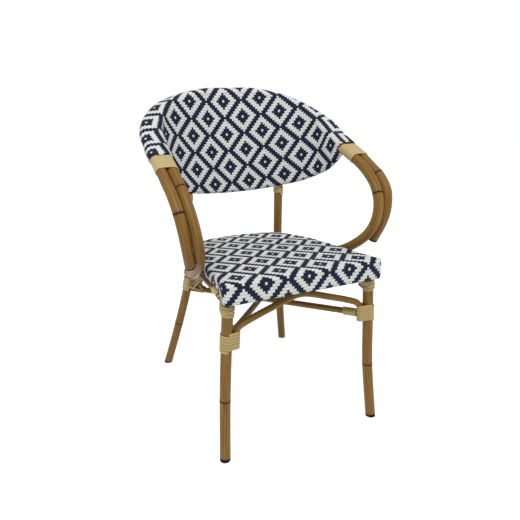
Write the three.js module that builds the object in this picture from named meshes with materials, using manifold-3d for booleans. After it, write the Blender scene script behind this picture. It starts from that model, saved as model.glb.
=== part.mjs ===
import * as THREE from 'three';
import { mergeVertices } from 'three/addons/utils/BufferGeometryUtils.js';
import Module from 'manifold-3d';

const wasm = await Module();
wasm.setup();

// A rattan bistro armchair in millimetres, +Z up, its front towards -Y.
// Left and right are as seen from the front, and right is +X.
// The origin is on the floor, under the middle of the chair.

// Driving sizes
const overallWidth = 567;
const overallDepth = 581;
const seatHeight = 450;
const backRise = 425;
const seatSlope = THREE.MathUtils.degToRad(0.9);
const fitGap = 0.3;
const cutOverrun = 20;

// Tubes of the frame
const legDiameter = 26;
const armDiameter = 25;
const braceDiameter = 16;
const railDiameter = 12;
const ringDiameter = 21;
const crossBarDiameter = 14;
const tubeWall = 2;
const pairGap = 0.6;

// Woven skins
const skinWall = 2.4;
const seatPlate = 4;
const seatLip = 2.4;
const seatCornerRadius = 13;
const seatEdgeRound = 7;
const apronReach = 35;
const ringBendRadius = 20;
const panelThickness = 4;

// Cane strands
const strandBreadth = 6.4;
const strandThickness = 2.4;
const strandGap = 0.8;
const flatStrandBreadth = 5.8;
const flatStrandThickness = 1.6;
const flatStrandGap = 0.6;
const bindingTurns = 9;
const frontLashingTurns = 6;
const seatLashingTurns = 4;
const rearLashingTurns = 7;
const postWrapTurns = 3;
const braceWrapTurns = 5;
const seatLashingDrop = 39;

// Small parts
const glideThickness = 8;
const capThickness = 5;
const stemLength = 18;
const plugRound = 2;
const spigotLength = 40;
const sleeveDiameter = 22;
const sleeveLength = 35;
const dowelLength = 30;
const pinDiameter = 5.5;
const pinRise = 16;
const pinForward = 6;
const screwDiameter = 5;
const screwHeadDiameter = 10;
const screwHeadThickness = 3;

// Counts of sides and steps
const tubeSides = 10;
const boreSides = 6;
const braceSides = 8;
const railSides = 6;
const plugSides = 9;
const wrapSteps = 10;
const pairWrapSteps = 12;
const bandEndSteps = 4;
const fineSteps = 240;

// Places, as shares of half the width, half the depth and the height.
// The height's share is 1 at the seat's underside, 2 at its top and 3 at the top of the hoop.
const frontLegShares = [[0.744, -0.907, 0], [0.705, -0.876, 0.37], [0.679, -0.888, 0.6633],
  [0.648, -0.905, 0.9714]];
const rearLegShares = [[0.778, 0.945, 0], [0.698, 0.821, 0.2367], [0.624, 0.701, 0.4735],
  [0.564, 0.602, 0.6867], [0.534, 0.556, 0.8296], [0.52, 0.527, 0.9714], [0.513, 0.499, 2.071],
  [0.515, 0.484, 2.259], [0.521, 0.478, 2.447], [0.526, 0.492, 2.729], [0.526, 0.523, 2.929]];
const rimShares = [[0.911, -0.367, 2.531], [0.906, -0.03, 2.642], [0.88, 0.229, 2.758], [0.689, 0.45, 2.879],
  [0.313, 0.588, 2.956], [0, 0.631, 2.964]];
const railShares = [[0.831, -0.117, 2.522], [0.811, -0.017, 2.471], [0.765, 0.145, 2.424],
  [0.67, 0.289, 2.384], [0.511, 0.403, 2.358], [0.265, 0.468, 2.338], [0, 0.489, 2.332]];
const armInnerShares = [[0.862, -0.551, 2.461], [0.855, -0.688, 2.381], [0.84, -0.762, 2.292],
  [0.817, -0.771, 2.193], [0.79, -0.709, 2.104], [0.76, -0.561, 2.019], [0.735, -0.327, 1.1],
  [0.67, 0.103, 0.9192]];
const armOuterShares = [[-0.499, 2.478], [-0.633, 2.424], [-0.737, 2.346], [-0.768, 2.247],
  [-0.75, 2.169], [-0.682, 2.059]];
const sideBraceShares = [[0.621, -0.179, 0.9523], [0.647, -0.485, 0.9597], [0.666, -0.688, 0.9672],
  [0.668, -0.742, 0.9682], [0.67, -0.796, 0.9618]];
const archShares = [[0.566, -0.884, 0.8008], [0.529, -0.878, 0.815], [0.388, -0.878, 0.8423],
  [0.2645, -0.878, 0.8684], [0.127, -0.878, 0.8968], [0, -0.878, 0.9096]];
const seatSideShares = [[0.705, -0.902], [0.693, -0.74], [0.683, -0.568], [0.672, -0.379], [0.66, -0.172],
  [0.635, 0.017], [0.582, 0.207], [0.522, 0.372], [0.416, 0.492], [0.212, 0.565], [0, 0.589]];
const seatFrontShares = [0.716, -1.009];
const crossBarShares = [-0.45, 0.1];
const crossBarReachShare = 0.66;

// Heights of the lashings' feet and of the joints, as shares of the same kind
const frontLashingShare = 0.663;
const rearLashingShare = 0.673;
const postWrapShare = 2.27;
const armJoinShare = 0.853;
const braceJoinShare = 0.936;
const throughFrontShare = 0.717;
const throughRearShare = 0.697;
const halfFrontShare = 0.748;
const halfRearShare = 0.692;
const braceWrapShare = 0.845;

// Worked out from the values above
const halfWidth = overallWidth / 2;
const halfDepth = overallDepth / 2;
const legRadius = legDiameter / 2;
const armRadius = armDiameter / 2;
const braceRadius = braceDiameter / 2;
const railRadius = railDiameter / 2;
const ringRadius = ringDiameter / 2;
const pairSpread = armRadius + pairGap / 2;
const rimCavityRadius = (armRadius + 2 * fitGap) / Math.cos(Math.PI / (2 * bandEndSteps));
const rimHalfHeight = rimCavityRadius + skinWall;
const railSleeveRadius = (railRadius + fitGap) / Math.cos(Math.PI / railSides) + skinWall;
const seatSideDepth = seatPlate + ringDiameter + seatLip + 2 * fitGap;
const apronDepth = seatPlate + 2 * ringDiameter + seatLip + 3 * fitGap;
const levels = [0, seatHeight - seatSideDepth, seatHeight, seatHeight + backRise];
const flatPitch = flatStrandBreadth + flatStrandGap;
const bindingLength = bindingTurns * flatPitch + flatStrandBreadth;

const materials = {
  bamboo: { color: 0x9a6a3f, roughness: 0.5 },
  innerTube: { color: 0x8c8f92, roughness: 0.4, metalness: 0.8 },
  weave: { color: 0xcfc3a4, roughness: 0.6 },
  cane: { color: 0xe2d3b0, roughness: 0.6 },
  plastic: { color: 0x161616, roughness: 0.5 },
  steel: { color: 0xa6a8aa, roughness: 0.3, metalness: 1 },
  wood: { color: 0xb98f60, roughness: 0.7 },
};

const chair = new THREE.Group();

function add(name, finish, geometry) {
  const mesh = new THREE.Mesh(geometry, new THREE.MeshStandardMaterial(materials[finish]));
  mesh.name = name;
  chair.add(mesh);
}

// The same shape on the other side, with its faces turned to point outwards again
function mirrored(geometry) {
  const other = mergeVertices(bare(geometry));
  other.scale(-1, 1, 1);
  const order = other.index.array;
  for (let i = 0; i < order.length; i += 3) {
    [order[i], order[i + 1]] = [order[i + 1], order[i]];
  }
  return other;
}

function addPair(name, finish, geometry) {
  add(`${name}_right`, finish, geometry);
  add(`${name}_left`, finish, mirrored(geometry));
}

// Solids for cutting and joining
function bare(geometry) {
  const plain = geometry.clone();
  plain.deleteAttribute('normal');
  plain.deleteAttribute('uv');
  return plain;
}

function solid(geometry) {
  const closed = mergeVertices(bare(geometry));
  return new wasm.Manifold(new wasm.Mesh({
    numProp: 3,
    vertProperties: new Float32Array(closed.attributes.position.array),
    triVerts: new Uint32Array(closed.index.array),
  }));
}

function geometryOf(body) {
  const mesh = body.getMesh();
  const geometry = new THREE.BufferGeometry();
  geometry.setAttribute('position', new THREE.BufferAttribute(new Float32Array(mesh.vertProperties), 3));
  geometry.setIndex(new THREE.BufferAttribute(new Uint32Array(mesh.triVerts), 1));
  return geometry;
}

function cut(body, ...tools) {
  return tools.reduce((left, tool) => left.subtract(tool), body);
}

// A tube's end shaped to what it meets: the main body that the cut leaves
function coped(geometry, ...tools) {
  const parts = cut(solid(geometry), ...tools).decompose();
  return geometryOf(parts.reduce((main, part) => (part.volume() > main.volume() ? part : main)));
}

function box(low, high) {
  const size = high.clone().sub(low);
  const geometry = new THREE.BoxGeometry(size.x, size.y, size.z);
  return geometry.translate((low.x + high.x) / 2, (low.y + high.y) / 2, (low.z + high.z) / 2);
}

// Places and paths
function heightAt(share) {
  const zone = Math.floor(share);
  return THREE.MathUtils.lerp(levels[zone], levels[zone + 1], share - zone);
}

function place([acrossShare, alongShare, riseShare]) {
  return new THREE.Vector3(acrossShare * halfWidth, alongShare * halfDepth, heightAt(riseShare));
}

function mirrorPoint(point) {
  return new THREE.Vector3(-point.x, point.y, point.z);
}

// Points along a stretch of a curve, half of them by length and half by how much it bends
function stations(curve, count, from = 0, to = curve.getLength()) {
  const whole = curve.getLength();
  const fine = [];
  for (let i = 0; i <= fineSteps; i += 1) {
    fine.push(curve.getPointAt(THREE.MathUtils.clamp((from + (to - from) * i / fineSteps) / whole, 0, 1)));
  }
  const lengths = [0];
  const turns = [0];
  for (let i = 1; i <= fineSteps; i += 1) {
    const before = fine[Math.max(i - 2, 0)];
    const heading = fine[i].clone().sub(fine[i - 1]);
    lengths.push(lengths[i - 1] + heading.length());
    turns.push(turns[i - 1] + (i > 1 ? heading.angleTo(fine[i - 1].clone().sub(before)) : 0));
  }
  const progress = lengths
    .map((length, i) => length / lengths[fineSteps] + turns[i] / (turns[fineSteps] + 1));
  const points = [];
  let at = 0;
  for (let step = 0; step <= count; step += 1) {
    const wanted = progress[fineSteps] * step / count;
    while (at < fineSteps - 1 && progress[at + 1] < wanted) {
      at += 1;
    }
    const share = (wanted - progress[at]) / (progress[at + 1] - progress[at]);
    points.push(fine[at].clone().lerp(fine[at + 1], THREE.MathUtils.clamp(share, 0, 1)));
  }
  return points;
}

function smooth(points) {
  return new THREE.CatmullRomCurve3(points);
}

// A path that runs straight from point to point, as a swept tube's sides do
function straightRuns(points) {
  const path = new THREE.CurvePath();
  points.slice(1).forEach((point, i) => path.add(new THREE.LineCurve3(points[i], point)));
  return path;
}

// Centre and directions at a length along a path, with x towards the hinted side and z along
function frameAt(path, length, sideOf, blend) {
  const whole = path.getLength();
  const at = (spot) => path.getPoint(THREE.MathUtils.clamp(spot / whole, 0, 1));
  const along = at(length + blend).sub(at(length - blend)).normalize();
  const hint = sideOf(along);
  const side = hint.addScaledVector(along, -hint.dot(along)).normalize();
  return { centre: at(length), side, up: along.clone().cross(side), along };
}

// How far along rising points a given height lies
function lengthAtHeight(points, height) {
  let length = 0;
  let index = 1;
  while (points[index].z < height) {
    length += points[index].distanceTo(points[index - 1]);
    index += 1;
  }
  const share = (height - points[index - 1].z) / (points[index].z - points[index - 1].z);
  return length + share * points[index].distanceTo(points[index - 1]);
}

function atHeight(points, height) {
  const path = straightRuns(points);
  return path.getPoint(lengthAtHeight(points, height) / path.getLength());
}

function roundSection(radius, sides) {
  return Array.from({ length: sides }, (unused, i) => new THREE.Vector2(
    radius * Math.cos(2 * Math.PI * i / sides),
    radius * Math.sin(2 * Math.PI * i / sides),
  ));
}

// A tube or a bar whose steps are the given points
function sweep(points, outline, hole = [], frames = null) {
  const section = new THREE.Shape(outline);
  if (hole.length > 0) {
    section.holes.push(new THREE.Path(hole));
  }
  const path = smooth(points);
  path.getUtoTmapping = (share) => share;
  if (frames) {
    path.computeFrenetFrames = () => frames;
  }
  const options = { steps: points.length - 1, extrudePath: path, bevelEnabled: false };
  return new THREE.ExtrudeGeometry(section, options);
}

function tube(points, radius, sides = tubeSides) {
  return sweep(points, roundSection(radius, sides), roundSection(radius - tubeWall, boreSides));
}

function bar(points, radius, sides = tubeSides) {
  return sweep(points, roundSection(radius, sides));
}

// The room that a tube needs, gap included, as a cutting tool
function room(points, radius, sides = tubeSides) {
  return solid(bar(points, radius + fitGap / Math.cos(Math.PI / sides), sides));
}

function stemRadius(radius) {
  return (radius - tubeWall) * Math.cos(Math.PI / boreSides) - fitGap;
}

// The directions of a level-sided section along a path
function levelFrames(points) {
  const frames = { tangents: [], normals: [], binormals: [] };
  points.forEach((point, i) => {
    const before = points[Math.max(i - 1, 0)];
    const after = points[Math.min(i + 1, points.length - 1)];
    const along = after.clone().sub(before).normalize();
    const side = new THREE.Vector3(along.y, -along.x, 0).normalize();
    frames.tangents.push(along);
    frames.normals.push(side);
    frames.binormals.push(along.clone().cross(side));
  });
  return frames;
}

function sideways(points, distance) {
  const sides = levelFrames(points).normals;
  return points.map((point, i) => point.clone().addScaledVector(sides[i], distance));
}

// The same, but with each straight stretch kept at the full distance
function parallel(points, distance) {
  const sides = levelFrames(points).normals;
  return points.map((point, i) => {
    const ahead = points[Math.min(i + 1, points.length - 1)].clone()
      .sub(points[Math.min(i, points.length - 2)]);
    const square = new THREE.Vector3(ahead.y, -ahead.x, 0).normalize();
    return point.clone().addScaledVector(sides[i], distance / square.dot(sides[i]));
  });
}

// A plug for a tube's end: a stem in the bore and a rounded head outside it
function plug(end, outwards, radius, headThickness) {
  const stem = stemRadius(radius);
  const profile = [[0, -stemLength], [stem, -stemLength], [stem, fitGap], [radius, fitGap],
    [radius, headThickness - plugRound], [radius - plugRound, headThickness], [0, headThickness]];
  const geometry = new THREE.LatheGeometry(profile.map(([x, y]) => new THREE.Vector2(x, y)), plugSides);
  const turn = new THREE.Quaternion().setFromUnitVectors(new THREE.Vector3(0, 1, 0), outwards);
  return geometry.applyQuaternion(turn).translate(end.x, end.y, end.z);
}

// A cane winding round one or more tubes that lie side by side

// The outermost point of a group of circles in a given direction, lifted off them
function wrapPoint(circles, angle, lift) {
  const heading = new THREE.Vector2(Math.cos(angle), Math.sin(angle));
  const reach = (circle) => circle.x * heading.x + circle.y * heading.y + circle.radius;
  const held = circles.reduce((best, circle) => (reach(circle) > reach(best) ? circle : best));
  return heading.multiplyScalar(held.radius + lift).add(new THREE.Vector2(held.x, held.y));
}

function windingLift(circles, steps) {
  const widest = Math.max(...circles.map((circle) => circle.radius));
  return (widest + fitGap) / Math.cos(Math.PI / steps) - widest;
}

function winding(lashing) {
  const { name, route, from, turns, pitch, circles, sideOf } = lashing;
  const { breadth, thickness, steps, sides, startAngle } = lashing;
  const path = straightRuns(route);
  const lift = windingLift(circles, steps) + thickness / 2;
  const spots = [];
  for (let step = 0; step <= turns * steps; step += 1) {
    const { centre, side, up } = frameAt(path, from + pitch * step / steps, sideOf, pitch);
    const angle = startAngle + 2 * Math.PI * step / steps;
    const spot = wrapPoint(circles, angle, lift);
    spots.push({
      point: centre.addScaledVector(side, spot.x).addScaledVector(up, spot.y),
      out: side.clone().multiplyScalar(Math.cos(angle)).addScaledVector(up, Math.sin(angle)),
    });
  }
  const last = spots.length - 1;
  const lead = (end, next) => ({
    point: end.point.clone().addScaledVector(end.point.clone().sub(next.point).normalize(), breadth),
    out: end.out,
  });
  spots.push(lead(spots[last], spots[last - 1]));
  spots.unshift(lead(spots[0], spots[1]));
  const rings = spots.map((spot, i) => {
    const before = spots[Math.max(i - 1, 0)].point;
    const after = spots[Math.min(i + 1, spots.length - 1)].point;
    const along = after.clone().sub(before).normalize();
    const out = spot.out.clone().addScaledVector(along, -spot.out.dot(along)).normalize();
    return strandRing(spot.point, out, along.clone().cross(out), breadth, thickness, sides);
  });
  console.log(`${name}: least gap to itself ${leastGap(rings, steps).toFixed(2)} mm`);
  return strandGeometry(rings);
}

function strandRing(centre, out, across, breadth, thickness, sides) {
  const angles = Array.from({ length: sides }, (unused, i) => 2 * Math.PI * (i + 0.5) / sides);
  const tallest = Math.max(...angles.map((angle) => Math.sin(angle)));
  const widest = Math.max(...angles.map((angle) => Math.cos(angle)));
  return angles.map((angle) => centre.clone()
    .addScaledVector(across, breadth / 2 * Math.cos(angle) / widest)
    .addScaledVector(out, thickness / 2 * Math.sin(angle) / tallest));
}

// The strand as one closed body: the rings' skin and a fan over each end
function strandGeometry(rings) {
  const sides = rings[0].length;
  const order = [];
  for (let ring = 0; ring < rings.length - 1; ring += 1) {
    for (let i = 0; i < sides; i += 1) {
      const here = ring * sides + i;
      const next = ring * sides + (i + 1) % sides;
      order.push(here, here + sides, next, next, here + sides, next + sides);
    }
  }
  const end = (rings.length - 1) * sides;
  for (let i = 1; i < sides - 1; i += 1) {
    order.push(0, i, i + 1);
    order.push(end, end + i + 1, end + i);
  }
  const geometry = new THREE.BufferGeometry();
  geometry.setFromPoints(rings.flat());
  geometry.setIndex(order);
  return geometry;
}

// The least distance between points of the strand that lie half a turn apart or more
function leastGap(rings, steps) {
  let least = Infinity;
  rings.forEach((ring, i) => {
    rings.slice(i + Math.ceil(steps / 2)).forEach((other) => {
      ring.forEach((point) => other.forEach((far) => {
        least = Math.min(least, point.distanceTo(far));
      }));
    });
  });
  return least;
}

// The room of a finished lashing, as a prism round its circles
function lashingRoom({ route, from, turns, pitch, circles, sideOf, breadth, thickness, steps }) {
  const lift = windingLift(circles, steps) + thickness + 2 * fitGap;
  const outline = Array.from({ length: 2 * steps },
    (unused, i) => wrapPoint(circles, Math.PI * i / steps, lift));
  const length = turns * pitch + breadth + 3 * strandGap;
  const middle = from + turns * pitch / 2;
  const { centre, side, up, along } = frameAt(straightRuns(route), middle, sideOf, length / 2);
  const matrix = new THREE.Matrix4().makeBasis(side, up, along).setPosition(centre);
  const prism = new THREE.ExtrudeGeometry(new THREE.Shape(outline), { depth: length, bevelEnabled: false });
  return solid(prism.translate(0, 0, -length / 2).applyMatrix4(matrix));
}

// Seat: its outline, inset from the edge, with a round front corner of its own radius
const seatFront = new THREE.Vector2(seatFrontShares[0] * halfWidth, seatFrontShares[1] * halfDepth);
const cornerSteps = 2;
const sideSteps = 10;

const seatCurve = smooth(seatSideShares.map(([across, along]) => place([across, along, 0])));
const seatEdge = stations(seatCurve, sideSteps);

function seatEdgeX(y) {
  const edge = [seatFront, ...seatEdge];
  const next = edge.findIndex((point) => point.y > y);
  return THREE.MathUtils.mapLinear(y, edge[next - 1].y, edge[next].y, edge[next - 1].x, edge[next].x);
}

function seatOutline(inset, cornerRadius) {
  const level = seatFront.y + inset + cornerRadius;
  const centre = new THREE.Vector2(seatEdgeX(level) - inset - cornerRadius, level);
  const right = [new THREE.Vector2(centre.x - cornerRadius, centre.y - cornerRadius)];
  for (let i = 0; i <= cornerSteps; i += 1) {
    const angle = Math.PI / 2 * (i / cornerSteps - 1);
    right.push(new THREE.Vector2(Math.cos(angle), Math.sin(angle)).multiplyScalar(cornerRadius).add(centre));
  }
  parallel(seatEdge, -inset).forEach((point) => {
    if (point.y > centre.y + cornerRadius / 2 && point.x > inset) {
      right.push(new THREE.Vector2(point.x, point.y));
    }
  });
  const back = new THREE.Vector2(0, seatEdge[sideSteps].y - inset);
  const left = right.map((point) => new THREE.Vector2(-point.x, point.y)).reverse();
  return [...right, back, ...left];
}

const seatMatrix = new THREE.Matrix4()
  .makeTranslation(0, seatFront.y, seatHeight)
  .multiply(new THREE.Matrix4().makeRotationX(-seatSlope))
  .multiply(new THREE.Matrix4().makeTranslation(0, -seatFront.y, 0));

function onSeat(geometry) {
  return geometry.applyMatrix4(seatMatrix);
}

// A slab of the seat's outline from one depth below its top to another, with rounded edges
function seatSlab(inset, top, bottom, round) {
  const shape = new THREE.Shape(seatOutline(inset, Math.max(seatCornerRadius - inset, seatLip)));
  const geometry = new THREE.ExtrudeGeometry(shape, {
    depth: bottom - top - 2 * round,
    bevelEnabled: round > 0,
    bevelThickness: round,
    bevelSize: round,
    bevelOffset: -round,
    bevelSegments: 2,
  });
  return solid(geometry.translate(0, 0, round - bottom));
}

function frontRoom(back) {
  const low = new THREE.Vector3(-overallWidth, seatFront.y - cutOverrun, -seatHeight);
  return solid(box(low, new THREE.Vector3(overallWidth, back, seatHeight)));
}

const apronBack = seatFront.y + apronReach;
const pocketInset = skinWall + fitGap;
const seatBody = seatSlab(0, 0, seatSideDepth, seatEdgeRound)
  .add(seatSlab(0, 0, apronDepth, seatEdgeRound).intersect(frontRoom(apronBack)));
const pocketRound = seatEdgeRound - skinWall;
const seatPocket = seatSlab(skinWall, seatPlate, seatSideDepth - seatLip, pocketRound)
  .add(seatSlab(skinWall, seatPlate, apronDepth - seatLip, pocketRound)
    .intersect(frontRoom(apronBack - skinWall)));
const seatWindow = cut(seatSlab(ringDiameter + 2 * pocketInset, seatPlate, seatSideDepth + cutOverrun, 0),
  frontRoom(apronBack));

function seated(body) {
  return solid(onSeat(geometryOf(body)));
}

// Legs
const frontLeg = smooth(frontLegShares.map(place));
const rearLeg = smooth(rearLegShares.map(place));
const frontLegSteps = 7;
const rearLegSteps = 12;
const frontLegPoints = stations(frontLeg, frontLegSteps, glideThickness);
const rearLegPoints = stations(rearLeg, rearLegSteps, glideThickness);
const rearLegRoom = room(rearLegPoints, legRadius);

// The hoop: two tubes side by side, from one armrest's joint to the other's
const rimRight = rimShares.map(place);
const rim = smooth([...rimRight, ...rimRight.slice(0, -1).reverse().map(mirrorPoint)]);
const rimLength = rim.getLength();
const rimSteps = 18;
const jointAt = bindingLength / 2;
const skinStart = bindingLength + 2 * strandGap;
const bandPoints = stations(rim, rimSteps, skinStart, rimLength - skinStart);
const onRim = (length) => rim.getPointAt(length / rimLength);
const rimPoints = [onRim(jointAt + fitGap), ...bandPoints, onRim(rimLength - jointAt - fitGap)];
const rimOuterPoints = sideways(rimPoints, pairSpread);
const rimInnerPoints = sideways(rimPoints, -pairSpread);
const rimRooms = [room(rimOuterPoints, armRadius, braceSides), room(rimInnerPoints, armRadius, braceSides)];
add('rim_tube_outer', 'bamboo', tube(rimOuterPoints, armRadius, braceSides));
add('rim_tube_inner', 'bamboo', tube(rimInnerPoints, armRadius, braceSides));

// The armrest's tubes go on from the hoop's, side by side under the binding, then part
const bindingRoute = [onRim(0), onRim(jointAt), onRim(skinStart)];

// One armrest tube: beside its fellow as far as the binding's end, then through its own points
function armPoints(offset, rest, count) {
  const [end, joint] = sideways([onRim(0), onRim(jointAt - fitGap), onRim(skinStart)], offset);
  const curve = smooth([joint, end, ...rest]);
  return [joint, ...stations(curve, count, joint.distanceTo(end))];
}

const armInnerSteps = 13;
const armOuterSteps = 9;
const armInnerPoints = armPoints(-pairSpread,
  [...armInnerShares.map(place), atHeight(rearLegPoints, heightAt(armJoinShare))], armInnerSteps);
const armInnerRising = [...armInnerPoints].reverse();

// The outer tube's places: beside the inner one, at their own depths and heights
const armOuterPlaces = armOuterShares.map(([alongShare, riseShare]) => {
  const spot = place([0, alongShare, riseShare]);
  return spot.setX(atHeight(armInnerRising, spot.z).x + armDiameter + pairGap);
});
const armOuterPoints = armPoints(pairSpread, armOuterPlaces, armOuterSteps);
addPair('arm_inner_tube', 'bamboo', coped(tube(armInnerPoints, armRadius), rearLegRoom));
addPair('arm_outer_tube', 'bamboo', tube(armOuterPoints, armRadius));
const [armBefore, armEnd] = armOuterPoints.slice(-2);
const armHeading = armEnd.clone().sub(armBefore).normalize();
addPair('arm_end_cap', 'plastic', plug(armEnd, armHeading, armRadius, capThickness));

// Spigots inside the four joints under the bindings
const bindingPath = straightRuns(bindingRoute);
const spigotEnds = [-1, 0, 1]
  .map((end) => bindingPath.getPoint((jointAt + end * spigotLength / 2) / bindingPath.getLength()));
addPair('arm_spigot_outer', 'innerTube',
  bar(sideways(spigotEnds, pairSpread), stemRadius(armRadius), plugSides));
addPair('arm_spigot_inner', 'innerTube',
  bar(sideways(spigotEnds, -pairSpread), stemRadius(armRadius), plugSides));

// Bindings of flat cane round both tubes
const pairCircles = [{ x: pairSpread, y: 0, radius: armRadius }, { x: -pairSpread, y: 0, radius: armRadius }];
const binding = {
  name: 'arm_binding',
  route: bindingRoute,
  from: flatStrandBreadth / 2,
  turns: bindingTurns,
  pitch: flatPitch,
  circles: pairCircles,
  sideOf: (along) => new THREE.Vector3(along.y, -along.x, 0),
  breadth: flatStrandBreadth,
  thickness: flatStrandThickness,
  steps: wrapSteps,
  sides: 4,
  startAngle: Math.PI / 2 - Math.PI / wrapSteps,
};
addPair('arm_binding', 'cane', winding(binding));

// The back's skin: rim band, panel and the sleeve of the bottom rail
const bandFrames = levelFrames(bandPoints);
function stadium(spread, radius) {
  const outline = [];
  [1, -1].forEach((side) => {
    for (let i = 0; i <= bandEndSteps; i += 1) {
      const angle = side * Math.PI * (i / bandEndSteps - 1 / 2);
      outline.push(new THREE.Vector2(side * (spread + radius * Math.cos(angle)), radius * Math.sin(angle)));
    }
  });
  return outline;
}

const band = solid(sweep(bandPoints, stadium(pairSpread, rimHalfHeight), [], bandFrames));
const openPoints = [
  bandPoints[0].clone().addScaledVector(bandFrames.tangents[0], -cutOverrun),
  ...bandPoints,
  bandPoints[rimSteps].clone().addScaledVector(bandFrames.tangents[rimSteps], cutOverrun),
];
const cavitySection = stadium(pairSpread, rimCavityRadius);
const bandCavity = solid(sweep(openPoints, cavitySection, [], levelFrames(openPoints)));

const bindingRoom = ['right', 'left'].map((side) => {
  const geometry = geometryOf(lashingRoom(binding));
  return solid(side === 'right' ? geometry : mirrored(geometry));
});
const railEnd = sideways([bandPoints[0], bandPoints[1]], -pairSpread)[0];
const railRight = [railEnd, ...railShares.map(place)];
const rail = smooth([...railRight, ...railRight.slice(0, -1).reverse().map(mirrorPoint)]);
const railPoints = stations(rail, rimSteps);
const railSleeve = solid(bar(railPoints, railSleeveRadius, railSides));
const railRoom = solid(bar(railPoints, railSleeveRadius - skinWall, railSides));
const railTube = tube(railPoints, railRadius, railSides);
add('back_bottom_rail', 'innerTube', coped(railTube, rimRooms[1], ...bindingRoom));

// The panel hangs from the hoop's front edge to the rail's, as a sheet of even thickness
const panelRows = 2;
const rimFront = sideways(bandPoints, panelThickness / 2 - pairSpread - rimHalfHeight);
const railFront = sideways(railPoints, panelThickness / 2 - railSleeveRadius);

function panelSheet() {
  const corners = [];
  for (let i = 0; i <= rimSteps; i += 1) {
    const before = rimFront[Math.max(i - 1, 0)];
    const after = rimFront[Math.min(i + 1, rimSteps)];
    const side = new THREE.Vector3(after.y - before.y, before.x - after.x, 0).normalize();
    for (let row = 0; row <= panelRows; row += 1) {
      const middle = rimFront[i].clone().lerp(railFront[i], row / panelRows);
      corners.push(middle.clone().addScaledVector(side, -panelThickness / 2));
      corners.push(middle.clone().addScaledVector(side, panelThickness / 2));
    }
  }
  const at = (i, row, back) => 2 * (i * (panelRows + 1) + row) + back;
  const order = [];
  const quad = (a, b, c, d) => order.push(a, c, b, a, d, c);
  for (let i = 0; i < rimSteps; i += 1) {
    for (let row = 0; row < panelRows; row += 1) {
      quad(at(i, row, 0), at(i, row + 1, 0), at(i + 1, row + 1, 0), at(i + 1, row, 0));
      quad(at(i, row, 1), at(i + 1, row, 1), at(i + 1, row + 1, 1), at(i, row + 1, 1));
    }
    quad(at(i, 0, 0), at(i + 1, 0, 0), at(i + 1, 0, 1), at(i, 0, 1));
    quad(at(i, panelRows, 0), at(i, panelRows, 1), at(i + 1, panelRows, 1), at(i + 1, panelRows, 0));
  }
  for (let row = 0; row < panelRows; row += 1) {
    quad(at(0, row, 0), at(0, row, 1), at(0, row + 1, 1), at(0, row + 1, 0));
    quad(at(rimSteps, row, 0), at(rimSteps, row + 1, 0), at(rimSteps, row + 1, 1), at(rimSteps, row, 1));
  }
  const sheet = new THREE.BufferGeometry();
  sheet.setFromPoints(corners);
  sheet.setIndex(order);
  return sheet;
}

const rearLegRooms = [rearLegRoom, solid(mirrored(geometryOf(rearLegRoom)))];
const backSkin = cut(band.add(railSleeve).add(solid(panelSheet())),
  bandCavity, railRoom, ...rearLegRooms, ...bindingRoom);
add('back_weave', 'weave', geometryOf(backSkin));

// Seat frame: a ring bent from one tube, its splice, the apron bar and two cross bars
const ringLevel = -(seatPlate + fitGap + ringRadius);
const ringInset = skinWall + fitGap + ringRadius;
const ringOutline = seatOutline(ringInset, ringBendRadius)
  .map((point) => new THREE.Vector3(point.x, point.y, ringLevel));
const ringBack = ringOutline.findIndex((point) => point.x === 0);
const ringPoints = [
  ringOutline[ringBack].clone().setX(-fitGap),
  ...ringOutline.slice(ringBack + 1),
  ...ringOutline.slice(0, ringBack),
  ringOutline[ringBack].clone().setX(fitGap),
];
const ringRoom = seated(room(ringPoints, ringRadius, railSides));
const onRing = (length) => {
  const path = straightRuns(ringPoints);
  return path.getPoint(length / path.getLength());
};
const splicePoint = onRing(spigotLength / 2);
const splice = bar([splicePoint, ringPoints[0], ringPoints[ringPoints.length - 1], mirrorPoint(splicePoint)],
  stemRadius(ringRadius), plugSides);
add('seat_ring_splice', 'innerTube', onSeat(splice));

crossBarShares.forEach((share, i) => {
  const end = new THREE.Vector3(crossBarReachShare * halfWidth, share * halfDepth, ringLevel);
  const points = [mirrorPoint(end), end];
  const body = coped(onSeat(tube(points, crossBarDiameter / 2, braceSides)), ringRoom);
  add(`seat_cross_bar_${['front', 'rear'][i]}`, 'innerTube', body);
});

// The front legs' dowels, each with a pin up into the apron bar
const apronRise = (apronReach / 2) * Math.tan(seatSlope);
const legTop = atHeight(frontLegPoints, seatHeight - apronDepth - fitGap - apronRise);
const legHeading = frontLeg.getTangentAt(1);
const dowelPoints = [legTop.clone().addScaledVector(legHeading, -dowelLength), legTop];
const pinPlace = legTop.clone().add(new THREE.Vector3(0, -pinForward, 0));
const pinPoints = [legTop.z - dowelLength / 2, legTop.z + pinRise]
  .map((level) => pinPlace.clone().setZ(level));
const aboveLegs = solid(onSeat(box(
  new THREE.Vector3(-overallWidth, -overallDepth, -apronDepth - fitGap),
  new THREE.Vector3(overallWidth, overallDepth, 0),
)));
const dowel = cut(solid(bar(dowelPoints, stemRadius(legRadius), boreSides)), aboveLegs)
  .add(solid(bar(pinPoints, pinDiameter / 2, braceSides)));
addPair('leg_dowel', 'steel', geometryOf(dowel));
const pinRooms = [room(pinPoints, pinDiameter / 2, braceSides)];
pinRooms.push(solid(mirrored(geometryOf(pinRooms[0]))));

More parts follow.
